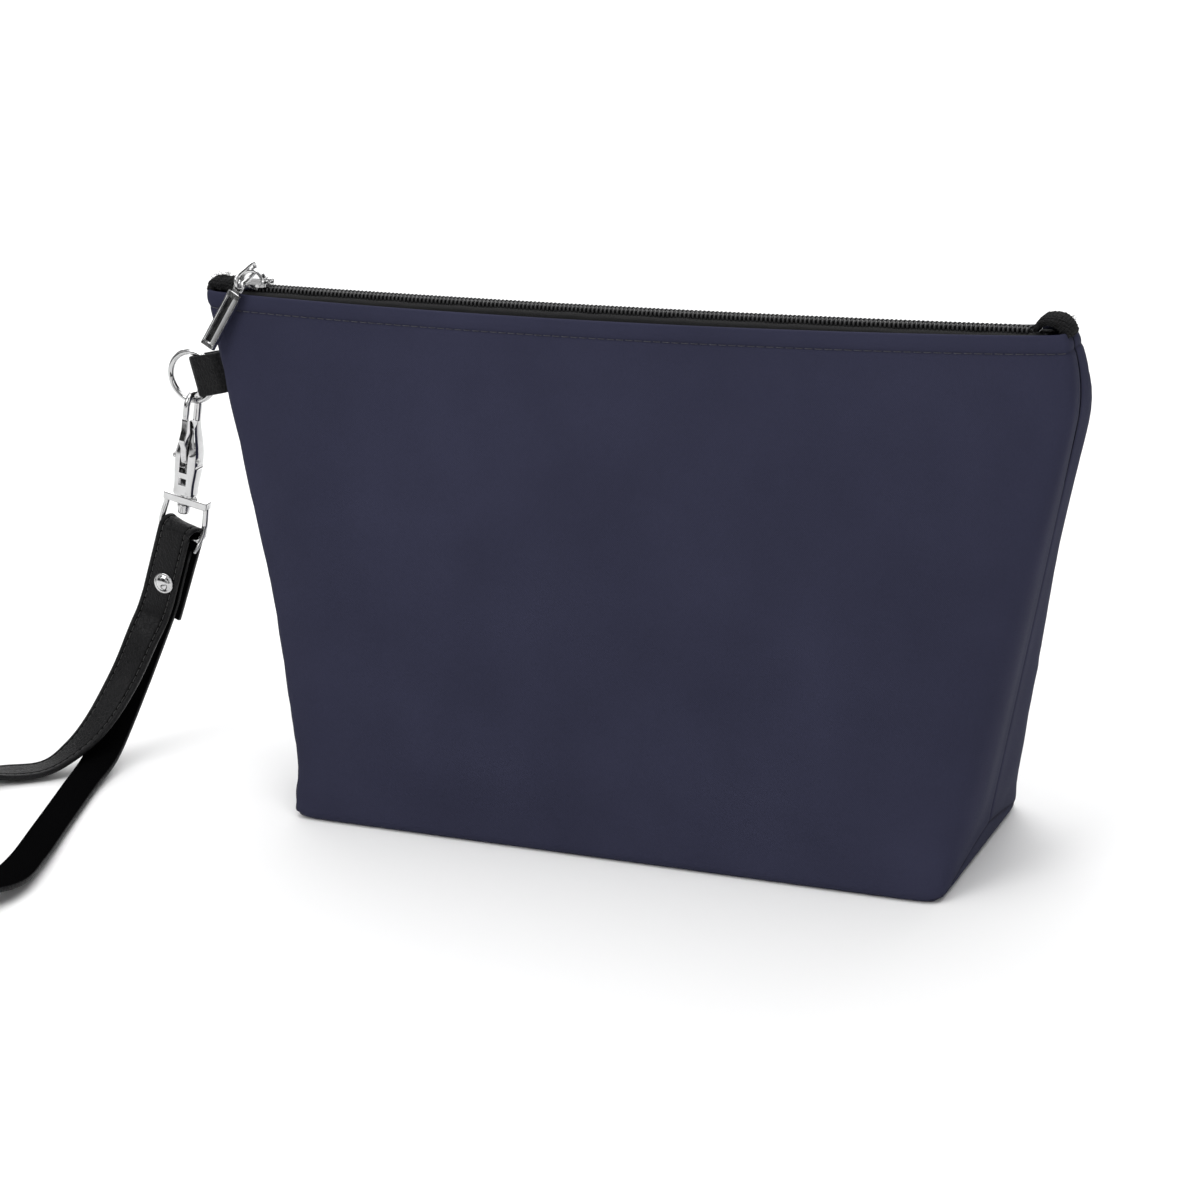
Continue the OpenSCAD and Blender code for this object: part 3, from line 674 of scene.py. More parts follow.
def inflate():
    """Cloth-simulate a coarse closed copy of the pouch under a little pressure and
    return where its points start and how far each one moves along its normal."""
    columns, rings = 84, []
    heights = [(0, s) for s in (0.0, 0.34, 0.67, 0.95)]
    heights += [(z, 1) for z in np.linspace(1.5 * MM, BODY_H, 27)]
    for z, deep in heights:
        w, d, m, mid = plan(z)
        x, y = plan_outline(np.linspace(0, 2 * math.pi, 4 * columns, endpoint=False),
                            w, max(deep, 0.02) * d, m)
        gone = np.concatenate([[0], np.cumsum(np.hypot(np.diff(x, append=x[0]),
                                                       np.diff(y, append=y[0])))])
        at = np.arange(columns * 2) / (columns * 2) * gone[-1]
        rings.append(np.stack([np.interp(at, gone, np.append(x, x[0])) + mid,
                               np.interp(at, gone, np.append(y, y[0])),
                               np.full(columns * 2, z)], 1))
    n, rows = columns * 2, len(rings)
    faces = skin(rows, n, ends=False)
    for k, order in ((0, -1), (rows - 1, 1)):
        faces += [(k * n + i, k * n + (i + 1) % n, k * n + n - 1 - (i + 1) % n,
                   k * n + n - 1 - i)[::-order] for i in range(columns - 1)]
    cage = make("cage", np.concatenate(rings), faces, FABRIC)
    even = cage.modifiers.new("even", "REMESH")
    even.mode, even.voxel_size = "VOXEL", CAGE_STEP
    bake(cage)
    rest = np.array([v.co for v in cage.data.vertices])
    normals = np.array([v.normal for v in cage.data.vertices])
    pins = cage.vertex_groups.new(name="pins")
    for v in cage.data.vertices:
        held = v.co.z < 2 * MM or v.co.z > BODY_H - 6 * MM
        pins.add([v.index], 1.0 if held else 0.0, "REPLACE")
    cloth = cage.modifiers.new("cloth", "CLOTH")
    cloth.settings.quality = 6
    cloth.settings.mass = 0.3
    cloth.settings.tension_stiffness = cloth.settings.compression_stiffness = 40
    cloth.settings.shear_stiffness = 20
    cloth.settings.bending_stiffness = 4
    cloth.settings.use_pressure = True
    cloth.settings.uniform_pressure_force = PRESSURE
    cloth.settings.vertex_group_mass = "pins"
    cloth.settings.effector_weights.gravity = 0
    cloth.point_cache.frame_start, cloth.point_cache.frame_end = 1, FRAMES
    cloth.collision_settings.use_collision = False
    scene = bpy.context.scene
    for f in range(1, FRAMES + 1):
        scene.frame_set(f)
        graph = bpy.context.evaluated_depsgraph_get()
        settled = cage.evaluated_get(graph).to_mesh()
    ended = np.array([v.co for v in settled.vertices])
    cage.evaluated_get(graph).to_mesh_clear()
    scene.frame_set(1)
    bpy.data.objects.remove(cage, do_unlink=True)
    out = ((ended - rest) * normals).sum(1)
    return rest, SWELL_MAX * np.tanh(out / SWELL_MAX)


CAGE_AT, CAGE_OUT = inflate()
CAGE = KDTree(len(CAGE_AT))
for index, place in enumerate(CAGE_AT):
    CAGE.insert(place, index)
CAGE.balance()


def settled_out(points):
    """The simulated outward move, blended from the nearest points of the cage."""
    moves = []
    for p in points.reshape(-1, 3):
        near = CAGE.find_n(p, 8)
        share = np.exp(-(np.array([n[2] for n in near]) / CAGE_STEP) ** 2) + 1e-9
        moves.append((share * CAGE_OUT[[n[1] for n in near]]).sum() / share.sum())
    return np.array(moves).reshape(points.shape[:-1])


def half_shell(name, side, off, fine, material, thick):
    """One panel: outer face, rounded top edge, and a strip down its inside."""
    rows = shell_rows(off, fine)
    edge = len(rows)
    turn = np.linspace(0, math.pi, 8 if fine else 4)
    rows += [(BODY_H, 1, off + thick / 2 * (1 - math.cos(a))) for a in turn[1:]]
    rows += [(z, 1, off + thick) for z in BODY_H - np.array([1, 3, 6, 10, 14]) * MM]
    lift = np.concatenate([np.zeros(edge), thick / 2 * np.sin(turn[1:]), np.zeros(5)])
    grid, gone, long = [], [], []
    for (z, deep, o), up in zip(rows, lift):
        p, at, total = row(z, deep, o, 84 if fine else 40,
                           FRONT_CRISP if side < 0 else BACK_CRISP)
        p[:, 2] += up + edge_rise(p[:, 0]) * smoothstep(np.full(len(p), z / BODY_H), 0.6, 1)
        grid.append(p)
        gone.append(np.minimum(at, total - at))
        long.append(total)
    grid, gone = np.array(grid), np.array(gone)
    along_u = np.gradient(grid, axis=1)
    along_v = np.gradient(grid, axis=0)
    normal = unit(np.cross(along_u, along_v))
    if fine:
        wall = np.array([deep == 1 for _, deep, _ in rows], float)[:, None]
        wall[edge:] = 0
        z = np.array([r[0] for r in rows])[:, None] + 0 * gone
        y = np.abs(grid[..., 1])
        box_z = 0.6 * MM + BOX_SEAM * (1 - np.clip(y / (BASE_D / 2), 0, 1) ** 1.2)
        end = smoothstep(np.abs(normal[..., 0]), 0.25, 0.6)
        box = soft_hill(z, box_z, 0.6 * MM) * end * wall
        above = smoothstep(z, BOX_SEAM - 0.5 * MM, BOX_SEAM + 1.5 * MM)
        side_seam = soft_hill(gone, 0, 0.7 * MM) * above
        base = soft_hill(y, 0, 0.8 * MM) * (z < 1e-6) * (gone > 4 * MM)
        down = BODY_H - z
        stitch = soft_hill(down, STITCH_DOWN, 0.55 * MM) * wall
        there = grid * np.array([1, side * -1, 1])
        swell = (0.6 * drape(grid) + settled_out(there)) * wall
        swell *= smoothstep(down, 0, 14 * MM)
        swell *= smoothstep(gone, 2 * MM, 24 * MM) * smoothstep(z, 2 * MM, 26 * MM)
        move = swell + MM * (
            -0.30 * side_seam + 0.08 * soft_hill(gone, 2.8 * MM, 2.0 * MM) * above
            - 0.35 * box + 0.08 * soft_hill(z, box_z + 2.6 * MM, 1.8 * MM) * end * wall
            + (1.5 if side > 0 else 0.2) * soft_hill(gone, 9 * MM, 7 * MM)
            * soft_hill(z, 136 * MM, 22 * MM) * (grid[..., 0] > 0)
            - 0.30 * stitch - 0.4 * base
            + 0.28 * soft_hill(down, 1.9 * MM, 1.7 * MM) * wall)
        grid = grid + normal * move[..., None]
        grid[..., 2] = np.maximum(grid[..., 2], 0)
        # painted shade for navy_fabric: near-black in the side-seam, boxed-corner and base-seam
        # creases and in the topstitch groove
        seam = np.clip(1.15 * soft_hill(gone, 0, 0.28 * MM) * above
                       + 1.0 * soft_hill(z, box_z, 0.32 * MM) * end * wall
                       + 0.8 * base + 0.30 * soft_hill(down, STITCH_DOWN, 0.4 * MM) * wall,
                       0, 1)
        # painted shade on the strip down the inside of the top edge
        seam[edge + 3:] = 0.6
    else:
        seam = np.zeros_like(gone)
    nv, nu = grid.shape[:2]
    if side > 0:
        grid = grid * np.array([1, -1, 1])
    faces = [(j * nu + i, j * nu + i + 1, (j + 1) * nu + i + 1, (j + 1) * nu + i)
             for j in range(nv - 1) for i in range(nu - 1)]
    if side > 0:
        faces = [f[::-1] for f in faces]
    panel = make(name, grid.reshape(-1, 3), faces, material, {"seam": seam.reshape(-1)})
    return panel, grid


def make_pouch():
    for side, word in ((-1, "front"), (1, "back")):
        panel, grid = half_shell(word + "_fabric", side, 0, True, FABRIC, SHELL)
        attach(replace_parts(panel, word + "_panel"), "pouch")
        rows = shell_rows(0, True)
        k = int(np.argmin([abs(BODY_H - STITCH_DOWN - z) + (deep < 1)
                           for z, deep, _ in rows]))
        out = np.cross(np.gradient(grid[k], axis=0), grid[k + 1] - grid[k])
        out *= np.sign(out[len(out) // 2, 1]) * side
        parts = stitches(grid[k][8:-8], out[8:-8], 3.0 * MM, 2.3 * MM, 0.13 * MM)
        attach(join("topstitch_" + word, parts, NAVY_THREAD), "pouch")
        inner, _ = half_shell(word + "_lining", side, SHELL + 0.3 * MM, False, LINING,
                              0.5 * MM)
        for v in inner.data.vertices:
            if v.co.z > BODY_H - 8 * MM:
                v.co.z = BODY_H - 8 * MM
        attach(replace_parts(inner, "lining_" + word), "pouch")


make_pouch()


# ---- zip ------------------------------------------------------------------
COIL_LOW, COIL_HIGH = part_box("zip_coil_front")
ZIP_Z = (COIL_LOW.z + COIL_HIGH.z) / 2
ZIP_X0, ZIP_X1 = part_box("zip_tape_front")[0].x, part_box("zip_tape_front")[1].x
SLIDER = (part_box("slider_body")[0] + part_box("slider_body")[1]) / 2
SLIDER.z = ZIP_Z
PITCH = 1.36 * MM


def coil_drop(x):
    """The closed zip sags a little between its ends."""
    t = (np.asarray(x) + 4 * MM) / (122 * MM)
    return -1.0 * MM * np.clip(1 - t * t, 0, 1)


def make_tape(side, word):
    """Woven tape: level under the coil, then down to the fabric and into the pouch."""
    outline = np.array([(0.55, -0.20), (2.6, -0.15), (4.15, -0.20), (5.0, -0.75),
                        (5.55, -2.0), (5.3, -6.0), (5.0, -10.0), (4.6, -10.0),
                        (4.9, -6.0), (5.05, -2.3), (4.6, -1.35), (4.0, -0.85),
                        (2.6, -0.75), (0.55, -0.70)]) * MM
    x = np.linspace(ZIP_X0, ZIP_X1, 150)
    squeeze = np.clip(np.minimum(x - ZIP_X0, ZIP_X1 - x) / (16 * MM), 0, 1) ** 0.6
    points = []
    for k, here in enumerate(x):
        wave = 0.12 * MM * math.sin(here * 420) * math.sin(here * 97)
        y = outline[:, 0].copy()
        y[4:10] -= (1 - squeeze[k]) * 1.6 * MM
        z = outline[:, 1].copy()
        z[5:9] = z[4] + (z[5:9] - z[4]) * (0.1 + 0.9 * squeeze[k])
        points.append(np.stack([np.full(len(outline), here), side * y,
                                ZIP_Z + coil_drop(here) + z + wave], 1))
    faces = skin(len(x), len(outline))
    if side > 0:
        faces = [f[::-1] for f in faces]
    tape = make("tape_" + word, np.concatenate(points), faces, TAPE)
    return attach(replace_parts(tape, "zip_tape_" + word), "pouch")


def make_coil(side, word):
    """Wound teeth whose heads reach just past the middle, and the thread on them."""
    loop = spline([(2.30, -0.85), (2.52, 0.0), (2.30, 0.80), (1.3, 1.08), (0.25, 1.02),
                   (-0.32, 0.45), (-0.36, -0.45), (0.25, -0.95), (1.3, -1.0)], 2) * MM
    parts = []
    start, stop = COIL_LOW.x + 1.0 * MM, COIL_HIGH.x - 0.6 * MM
    shift = 0 if side < 0 else PITCH / 2
    for x in np.arange(start + shift, stop, PITCH):
        y, z = loop[:, 0], loop[:, 1]
        lean = x + 0.30 * (y - 1 * MM)
        line = np.stack([lean, side * y, ZIP_Z + coil_drop(x) + z * 0.92], 1)
        parts.append(tube(line, 0.40 * MM, 7))
    coil = join("coil_" + word, parts, NYLON)
    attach(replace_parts(coil, "zip_coil_" + word), "pouch")
    x = np.arange(start, stop, 0.34 * MM)
    line = np.stack([x, side * (1.62 * MM + 0.10 * MM * np.sin(x / PITCH * 2 * math.pi)),
                     ZIP_Z + coil_drop(x) + 1.22 * MM
                     + 0.12 * MM * np.sin(x / PITCH * 2 * math.pi)], 1)
    cord = join("coil_thread_" + word, [tube(line, 0.19 * MM, 6)], BLACK_THREAD)
    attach(cord, "pouch")


def make_tape_end(node, profile, depth):
    """Folded end of the zip: layers of tape bunched over the side seam."""
    low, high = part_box(node)
    middle = (low.x + high.x) / 2
    line = spline([(middle + x * MM, 0, low.z + z * MM) for x, z, _ in profile], 5)
    thick = spline([(t * MM, 0, 0) for _, _, t in profile], 5)[:, 0]
    a = angles(28)
    ring = np.stack([depth * power(np.cos(a), 0.7), power(np.sin(a), 0.7)], 1)
    ripple = 1 + 0.05 * np.sin(a * 9) + 0.03 * np.sin(a * 17)
    section = np.stack([ring * ripple[:, None] * (1, t) for t in thick])
    points, faces = sweep(line, np.tile((0, 1, 0), (len(line), 1)), section)
    end = make(node + "_folded", points, faces, TAPE)
    subdivide(end, 2)
    rough = np.array([v.co for v in end.data.vertices])
    bumps = (np.sin(rough[:, 0] * 5200) * np.sin(rough[:, 2] * 4700)
             + np.sin(rough[:, 1] * 6100 + rough[:, 2] * 3100))
    for v, b in zip(end.data.vertices, bumps):
        v.co += v.normal * (0.18 * MM * b)
    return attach(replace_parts(end, node), "pouch")


def make_frays(node, count, spread):
    """Loose fibres standing out of a folded tape end."""
    low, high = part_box(node)
    parts = []
    for _ in range(count):
        root = np.array([rng.uniform(low.x, high.x), rng.uniform(low.y, high.y) * 0.8,
                         rng.uniform(low.z + 1 * MM, high.z)])
        way = unit(np.array([rng.normal() * 0.8, rng.normal() * 0.6, rng.uniform(0.1, 1)]))
        bend = rng.normal(size=3) * 0.3 * MM
        tip = root + way * rng.uniform(0.4, 1.0) * spread
        parts.append(tube(spline([root, (root + tip) / 2 + bend, tip], 3), 0.07 * MM, 4))
    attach(join(node + "_fibres", parts, TAPE), "pouch")


def make_zip():
    for side, word in ((-1, "front"), (1, "back")):
        make_tape(side, word)
        make_coil(side, word)
    make_tape_end("zip_end_left", [(-3.0, -0.4, 0.9), (-2.8, 1.5, 1.5), (-1.6, 3.1, 1.8),
                                   (-0.2, 3.1, 1.7), (1.0, 2.4, 1.6), (2.2, 2.9, 1.9),
                                   (3.8, 2.5, 1.8), (5.4, 1.4, 1.3), (6.6, 0.7, 0.7)],
                  4.3 * MM)
    make_frays("zip_end_left", 130, 1.3 * MM)
    make_tape_end("zip_end_right", [(-7.0, 2.3, 0.5), (-6.4, 3.3, 0.8), (-5.1, 4.6, 1.2),
                                    (-3.6, 5.3, 1.5), (-1.2, 5.2, 1.8), (0.8, 4.3, 2.0),
                                    (2.2, 2.6, 1.9), (3.2, 0.8, 1.3)], 4.1 * MM)
    make_frays("zip_end_right", 60, 0.8 * MM)
    for node in ("zip_bottom_stop", "zip_top_stops"):
        low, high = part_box(node)
        if node == "zip_bottom_stop":
            trim = Vector((0.1, 0.8, 0.5)) * MM
            boxes = [block(low + trim, high - trim)]
        else:
            boxes = [block((low.x, s * 0.4 * MM - 0.9 * MM + s * 0.9 * MM, low.z),
                           (high.x, s * 0.4 * MM + 0.9 * MM + s * 0.9 * MM, high.z))
                     for s in (-1, 1)]
        stop = join(node + "_rounded", boxes, METAL)
        soften(stop, 0.25 * MM, 3)
        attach(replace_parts(stop, node), "pouch")


make_zip()


# ---- slider, link and pull -------------------------------------------------
def outline_plate(outline, z0, z1):
    """Points and faces of a flat plate of the outline, between two heights."""
    n = len(outline)
    points = [(x, y, z) for z in (z0, z1) for x, y in outline]
    faces = [tuple(range(n - 1, -1, -1)), tuple(range(n, 2 * n))]
    faces += [(i, (i + 1) % n, n + (i + 1) % n, n + i) for i in range(n)]
    return points, faces


def make_slider():
    low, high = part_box("slider_body")
    long, wide = (high.x - low.x) / 2, (high.y - low.y) / 2
    a = angles(56)
    waist = 1 - 0.16 * np.abs(np.cos(a)) ** 6
    outline = np.stack([long * power(np.cos(a), 0.62),
                        wide * waist * power(np.sin(a), 0.55)], 1)
    outline += np.array([SLIDER.x, 0])
    top = make("slider", *outline_plate(outline, ZIP_Z + 1.45 * MM, high.z), METAL)
    under = make("under", *outline_plate(outline, ZIP_Z - 3.1 * MM, ZIP_Z - 2.5 * MM), METAL)
    for plate, z0, z1 in ((top, ZIP_Z + 0.75 * MM, ZIP_Z + 1.6 * MM),
                          (under, ZIP_Z - 2.7 * MM, ZIP_Z - 1.75 * MM)):
        walls = [make("wall", *block((SLIDER.x - 3.7 * MM, y - 0.3 * MM, z0),
                                     (SLIDER.x + 3.7 * MM, y + 0.3 * MM, z1)), METAL)
                 for y in (-wide + 0.4 * MM, wide - 0.4 * MM)]
        combine(plate, walls, "UNION")
    soften(top, 0.3 * MM, 4)
    soften(under, 0.2 * MM, 2)
    merge(top, under)
    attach(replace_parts(top, "slider_body"), "slider")

    low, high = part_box("slider_bail")
    centre, radius = low.z - 0.4 * MM, high.z - low.z - 0.4 * MM + 0.15 * MM
    mid_r = radius - 0.35 * MM
    feet = [(-mid_r - 0.55 * MM, 0.25 * MM), (-mid_r - 0.1 * MM, 0.6 * MM)]
    arch = [(mid_r * math.cos(t), mid_r * math.sin(t) + 0.1 * MM)
            for t in np.linspace(math.pi * 0.94, math.pi * 0.06, 25)]
    line = np.array([(SLIDER.x + x, 0, centre + z) for x, z in
                     feet + arch + [(-x, z) for x, z in feet[::-1]]])
    share = np.linspace(-1, 1, len(line))
    half = (1.05 + 0.75 * share ** 4) * MM
    a = angles(20)
    section = np.stack([np.stack([h * power(np.cos(a), 0.6),
                                  0.78 * MM * power(np.sin(a), 0.8)], 1) for h in half])
    points, faces = sweep(line, np.tile((0, 1, 0), (len(line), 1)), section)
    nub = tube([(SLIDER.x + x * MM, 0, low.z + z * MM) for x, z in
                ((4.9, 0.75), (5.7, 1.15), (6.4, 1.05), (6.8, 0.6))], 0.85 * MM, 16)
    bail = join("bail", [(points, faces), nub], METAL)
    subdivide(bail, 1)
    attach(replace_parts(bail, "slider_bail"), "slider")


def closed_tube(line, radius, sides=14):
    """Points and faces of a wire loop in one plane."""
    line = np.asarray(line, float)
    tangent = unit(np.roll(line, -1, 0) - np.roll(line, 1, 0))
    flat = unit(np.cross(line[1] - line[0], line[len(line) // 3] - line[0]))
    side = np.cross(tangent, flat)
    a = angles(sides)
    points = (line[:, None] + radius * (np.cos(a)[None, :, None] * flat
                                        + np.sin(a)[None, :, None] * side[:, None]))
    n = len(line)
    faces = [(k * sides + i, k * sides + (i + 1) % sides,
              (k + 1) % n * sides + (i + 1) % sides, (k + 1) % n * sides + i)
             for k in range(n) for i in range(sides)]
    return points.reshape(-1, 3), faces


def make_link():
    crown, eye = joint_at("link_flip"), joint_at("pull_swing")
    link_r, length, dip = 1.85 * MM, 8.6 * MM, math.radians(12)
    along = np.array((0, -math.cos(dip), -math.sin(dip)))
    up = np.array((0, -math.sin(dip), math.cos(dip)))
    near = [link_r * (math.cos(t) * up - math.sin(t) * along)
            for t in np.linspace(0, math.pi, 17)]
    far = [length * along - link_r * (math.cos(t) * up - math.sin(t) * along)
           for t in np.linspace(0, math.pi, 17)]
    line = np.array(crown) + np.array(near + far)
    dense = []
    for p, q in zip(line, np.roll(line, -1, 0)):
        steps = max(1, int(np.linalg.norm(q - p) / (0.8 * MM)))
        dense += [p + (q - p) * k / steps for k in range(steps)]
    link = join("link", [closed_tube(dense, 0.66 * MM)], METAL)
    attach(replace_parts(link, "pull_link"), "link")
    return eye


PULL_TILT, PULL_LEAN = math.radians(-17), math.radians(28)


def make_pull(eye):
    """Framed channel with a collar and an eye."""
    turn = (Matrix.Translation(eye) @ Matrix.Rotation(PULL_TILT, 4, "X")
            @ Matrix.Rotation(PULL_LEAN, 4, "Y"))
    half = 2.5
    section = np.array([(-half, 0.80), (half, 0.80), (half, -0.62), (half - 0.12, -0.82),
                        (half - 0.42, -0.82), (half - 0.62, -0.60), (half - 0.72, -0.12),
                        (0.25, 0.22), (-0.25, 0.22), (-half + 0.72, -0.12),
                        (-half + 0.62, -0.60), (-half + 0.42, -0.82), (-half + 0.12, -0.82),
                        (-half, -0.62)]) * MM
    z = np.array([-22.0, -21.9, -21.6, -20.8, -20.7, -12, -5, -3.9]) * MM
    n = len(section)
    points, fill = [], np.array([1, 1, 1, 1, 0, 0, 0, 0])
    for here, solid in zip(z, fill):
        ring = section.copy()
        if solid:
            ring[5:11, 1] = -0.72 * MM
        points.append(np.stack([ring[:, 0], ring[:, 1], np.full(n, here)], 1))
    bar = make("pull", np.concatenate(points), skin(len(z), n), METAL)
    collar = make("collar", *block((-2.35 * MM, -0.95 * MM, -4.3 * MM),
                                   (2.35 * MM, 0.90 * MM, -2.6 * MM)), METAL)
    neck = make("neck", *block((-1.5 * MM, -0.55 * MM, -3.2 * MM),
                               (1.5 * MM, 0.45 * MM, -1.5 * MM)), METAL)
    combine(bar, [collar, neck], "UNION")
    soften(bar, 0.13 * MM, 2, 40)
    a = np.linspace(0, 2 * math.pi, 40, endpoint=False)
    ring = [(1.55 * MM * math.cos(t), 0, -0.6 * MM + 1.55 * MM * math.sin(t)) for t in a]
    eye_ring = join("eye", [closed_tube(ring, 0.48 * MM, 14)], METAL)
    merge(bar, eye_ring)
    moved(bar, turn)
    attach(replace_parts(bar, "pull_bar"), "pull")


make_slider()
make_pull(make_link())


# ---- tab and ring ---------------------------------------------------------
TAB_AT, TAB_TILT = (-146.8 * MM, 0, 134.2 * MM), math.radians(-12)


def make_tab():
    """A strip of leather folded round the ring, its ends sewn into the side seam."""
    path = [(9, -0.65), (6, -0.65), (3.5, -0.7), (1.2, -1.8), (-1.5, -1.95), (-4, -1.95)]
    turn = [(-6.45 - 1.95 * math.sin(t), -1.95 * math.cos(t))
            for t in np.linspace(0, math.pi, 13)]
    path = np.array([(x, y, 0) for x, y in path + turn + [(x, -y) for x, y in path[::-1]]])
    line = spline(path * MM, 4)
    h, t = 6.8 * MM, 0.6 * MM
    edge = [(-h, 0), (-h + 0.15 * MM, -t), (-h + 1.2 * MM, -t), (0, -t), (h - 1.2 * MM, -t),
            (h - 0.15 * MM, -t), (h, 0), (h - 0.15 * MM, t), (h - 1.0 * MM, t),
            (h - 1.3 * MM, t - 0.22 * MM), (h - 1.6 * MM, t), (0, t + 0.05 * MM),
            (-h + 1.6 * MM, t), (-h + 1.3 * MM, t - 0.22 * MM), (-h + 1.0 * MM, t),
            (-h + 0.15 * MM, t)]
    points, faces = sweep(line, np.tile((0, 0, 1), (len(line), 1)), edge)
    # the seam mask marks the tab's two stitch grooves, which black_leather paints dark as painted
    # shade
    tab = make("tab", points, faces, LEATHER,
               {"seam": np.tile([0.0] * 9 + [1, 0, 0, 0, 1, 0, 0], len(line)),
                "inner": np.zeros(len(points))})
    moved(tab, Matrix.Translation(TAB_AT) @ Matrix.Rotation(TAB_TILT, 4, "Y"))
    subdivide(tab, 1)
    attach(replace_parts(tab, "ring_tab"), "pouch")


def make_ring():
    centre = joint_at("ring_turn")
    low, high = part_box("ring")
    wire = (high.y - low.y) / 2
    major = (high.x - low.x) / 2 - wire
    a = np.linspace(0, 2 * math.pi, 144, endpoint=False)
    line = [(centre.x + major * math.cos(t), 0, centre.z + major * math.sin(t)) for t in a]
    ring = join("round_ring", [closed_tube(line, wire, 24)], METAL)
    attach(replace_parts(ring, "ring"), "ring")


make_tab()
make_ring()


# ---- snap hook ------------------------------------------------------------
HOOK_TILT = math.radians(12)
HOOK_FRAME = Matrix.Translation(joint_at("hook_swing")) @ Matrix.Rotation(HOOK_TILT, 4, "Y")


def make_hook():
    """Crook, two cheeks with a slot for the gate, and a foot over the swivel."""
    heights = np.array([-7.6, -9, -11, -13.5, -16, -18.5, -21, -24, -26.5, -29, -31,
                        -32.6, -33.3])
    wide = np.array([1.35, 1.75, 2.4, 3.25, 4.0, 4.42, 4.5, 4.4, 4.15, 3.9, 3.85,
                     3.95, 3.7])
    deep = np.array([1.7, 2.2, 2.7, 3.1, 3.35, 3.5, 3.5, 3.45, 3.35, 3.2, 3.1, 3.05, 2.8])
    middle = np.array([3.0, 2.4, 1.9, 1.5, 1.2, 1.0, 1.0, 1.0, 0.95, 0.8, 0.65, 0.5, 0.5])
    fine = np.linspace(0, len(heights) - 1, 46)
    index = np.arange(len(heights))
    heights, wide, deep, middle = (np.interp(fine, index, v) for v in
                                   (heights, wide, deep, middle))
    n = 40
    points = [(w * power(math.cos(t), 0.62), m + d * power(math.sin(t), 0.62), z)
              for z, w, d, m in zip(heights, wide, deep, middle) for t in angles(n)]
    faces = [(k * n + i, (k + 1) * n + i, (k + 1) * n + (i + 1) % n, k * n + (i + 1) % n)
             for k in range(45) for i in range(n)]
    faces += [tuple(range(n)), tuple(range(46 * n - 1, 45 * n - 1, -1))]
    body = make("hook", np.array(points) * MM, faces, METAL)
    slot_w = 1.45 * MM
    slot = make("slot", *block((-slot_w, -10 * MM, -25 * MM), (slot_w, 2 * MM, -5 * MM)), METAL)
    window = make("window", *block((-slot_w, -10 * MM, -29.4 * MM),
                                   (slot_w, 10 * MM, -26.9 * MM)), METAL)
    waist = []
    for side in (-1, 1):
        points, faces = tube([(side * 4.75 * MM, -4 * MM, -22.5 * MM),
                              (side * 4.75 * MM, 6 * MM, -22.5 * MM)], 0.8 * MM, 20)
        waist.append(make("scallop", points, faces, METAL))
    combine(body, [slot, window, *waist], "DIFFERENCE")
    soften(body, 0.16 * MM, 2, 38)

    crook = [(0, 3.6, -11), (0, 3.6, -7), (0, 3.6, -3)]
    crook += [(0, 3.6 * math.cos(t), -1.3 + 3.6 * math.sin(t))
              for t in np.linspace(0.2, math.pi - 0.1, 15)]
    crook += [(0, -3.6, -2.4), (0, -3.62, -4.0), (0, -3.66, -4.95)]
    line = spline(np.array(crook) * MM, 3)
    taper = np.interp(np.linspace(0, 1, len(line)), [0, 0.25, 0.6, 1], [1.1, 1.0, 0.9, 0.86])
    curve = join("crook", [tube(line, 1.28 * MM, 20, taper)], METAL)
    merge(body, curve)
    moved(body, HOOK_FRAME)
    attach(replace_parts(body, "hook_body"), "hook")

    pin = join("pin", [lathe([(0.001, -4.72 * MM), (0.6 * MM, -4.68 * MM), (0.95 * MM, -4.5 * MM),
                              (1.0 * MM, -4.3 * MM), (0.8 * MM, -4.2 * MM), (0.8 * MM, 4.2 * MM),
                              (1.0 * MM, 4.3 * MM), (0.95 * MM, 4.5 * MM),
                              (0.6 * MM, 4.68 * MM), (0.001, 4.72 * MM)], 28)], METAL)
    moved(pin, HOOK_FRAME @ Matrix.Translation((0, -0.6 * MM, -20 * MM))
          @ Matrix.Rotation(math.radians(90), 4, "Y"))
    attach(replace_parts(pin, "gate_pin"), "hook")

    leaf = join("spring", [sweep(
        spline(np.array([(0, 1.75, -24.6), (0, 1.7, -20), (0, 1.72, -15), (0, 1.85, -10.6)])
               * MM, 6), np.tile((1, 0, 0), (19, 1)),
        np.array([(-0.9, -0.12), (0.9, -0.12), (0.9, 0.12), (-0.9, 0.12)]) * MM)], SPRING)
    moved(leaf, HOOK_FRAME)
    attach(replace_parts(leaf, "gate_spring"), "hook")


def make_gate():
    """Lever in the slot, with a thumb bump."""
    outline = np.array([(-2.3, -21.4), (-3.25, -18), (-3.6, -16), (-4.9, -14), (-5.1, -12.8),
                        (-4.6, -11.2), (-4.15, -9.6), (-4.35, -6.2), (-4.2, -5.5),
                        (-3.3, -5.4), (-2.6, -6.2), (-2.0, -9.6), (-0.9, -14), (0.4, -18),
                        (0.95, -20.4), (0.5, -21.6), (-0.6, -22.1), (-1.7, -22.0)]) * MM
    n = len(outline)
    half = 1.12 * MM
    points = [(s * half, y, z) for s in (-1, 1) for y, z in outline]
    faces = [tuple(range(n)), tuple(range(2 * n - 1, n - 1, -1))]
    faces += [((i + 1) % n, i, n + i, n + (i + 1) % n) for i in range(n)]
    gate = make("gate", points, faces, METAL)
    soften(gate, 0.28 * MM, 3, 25)
    moved(gate, HOOK_FRAME)
    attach(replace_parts(gate, "hook_gate"), "gate")


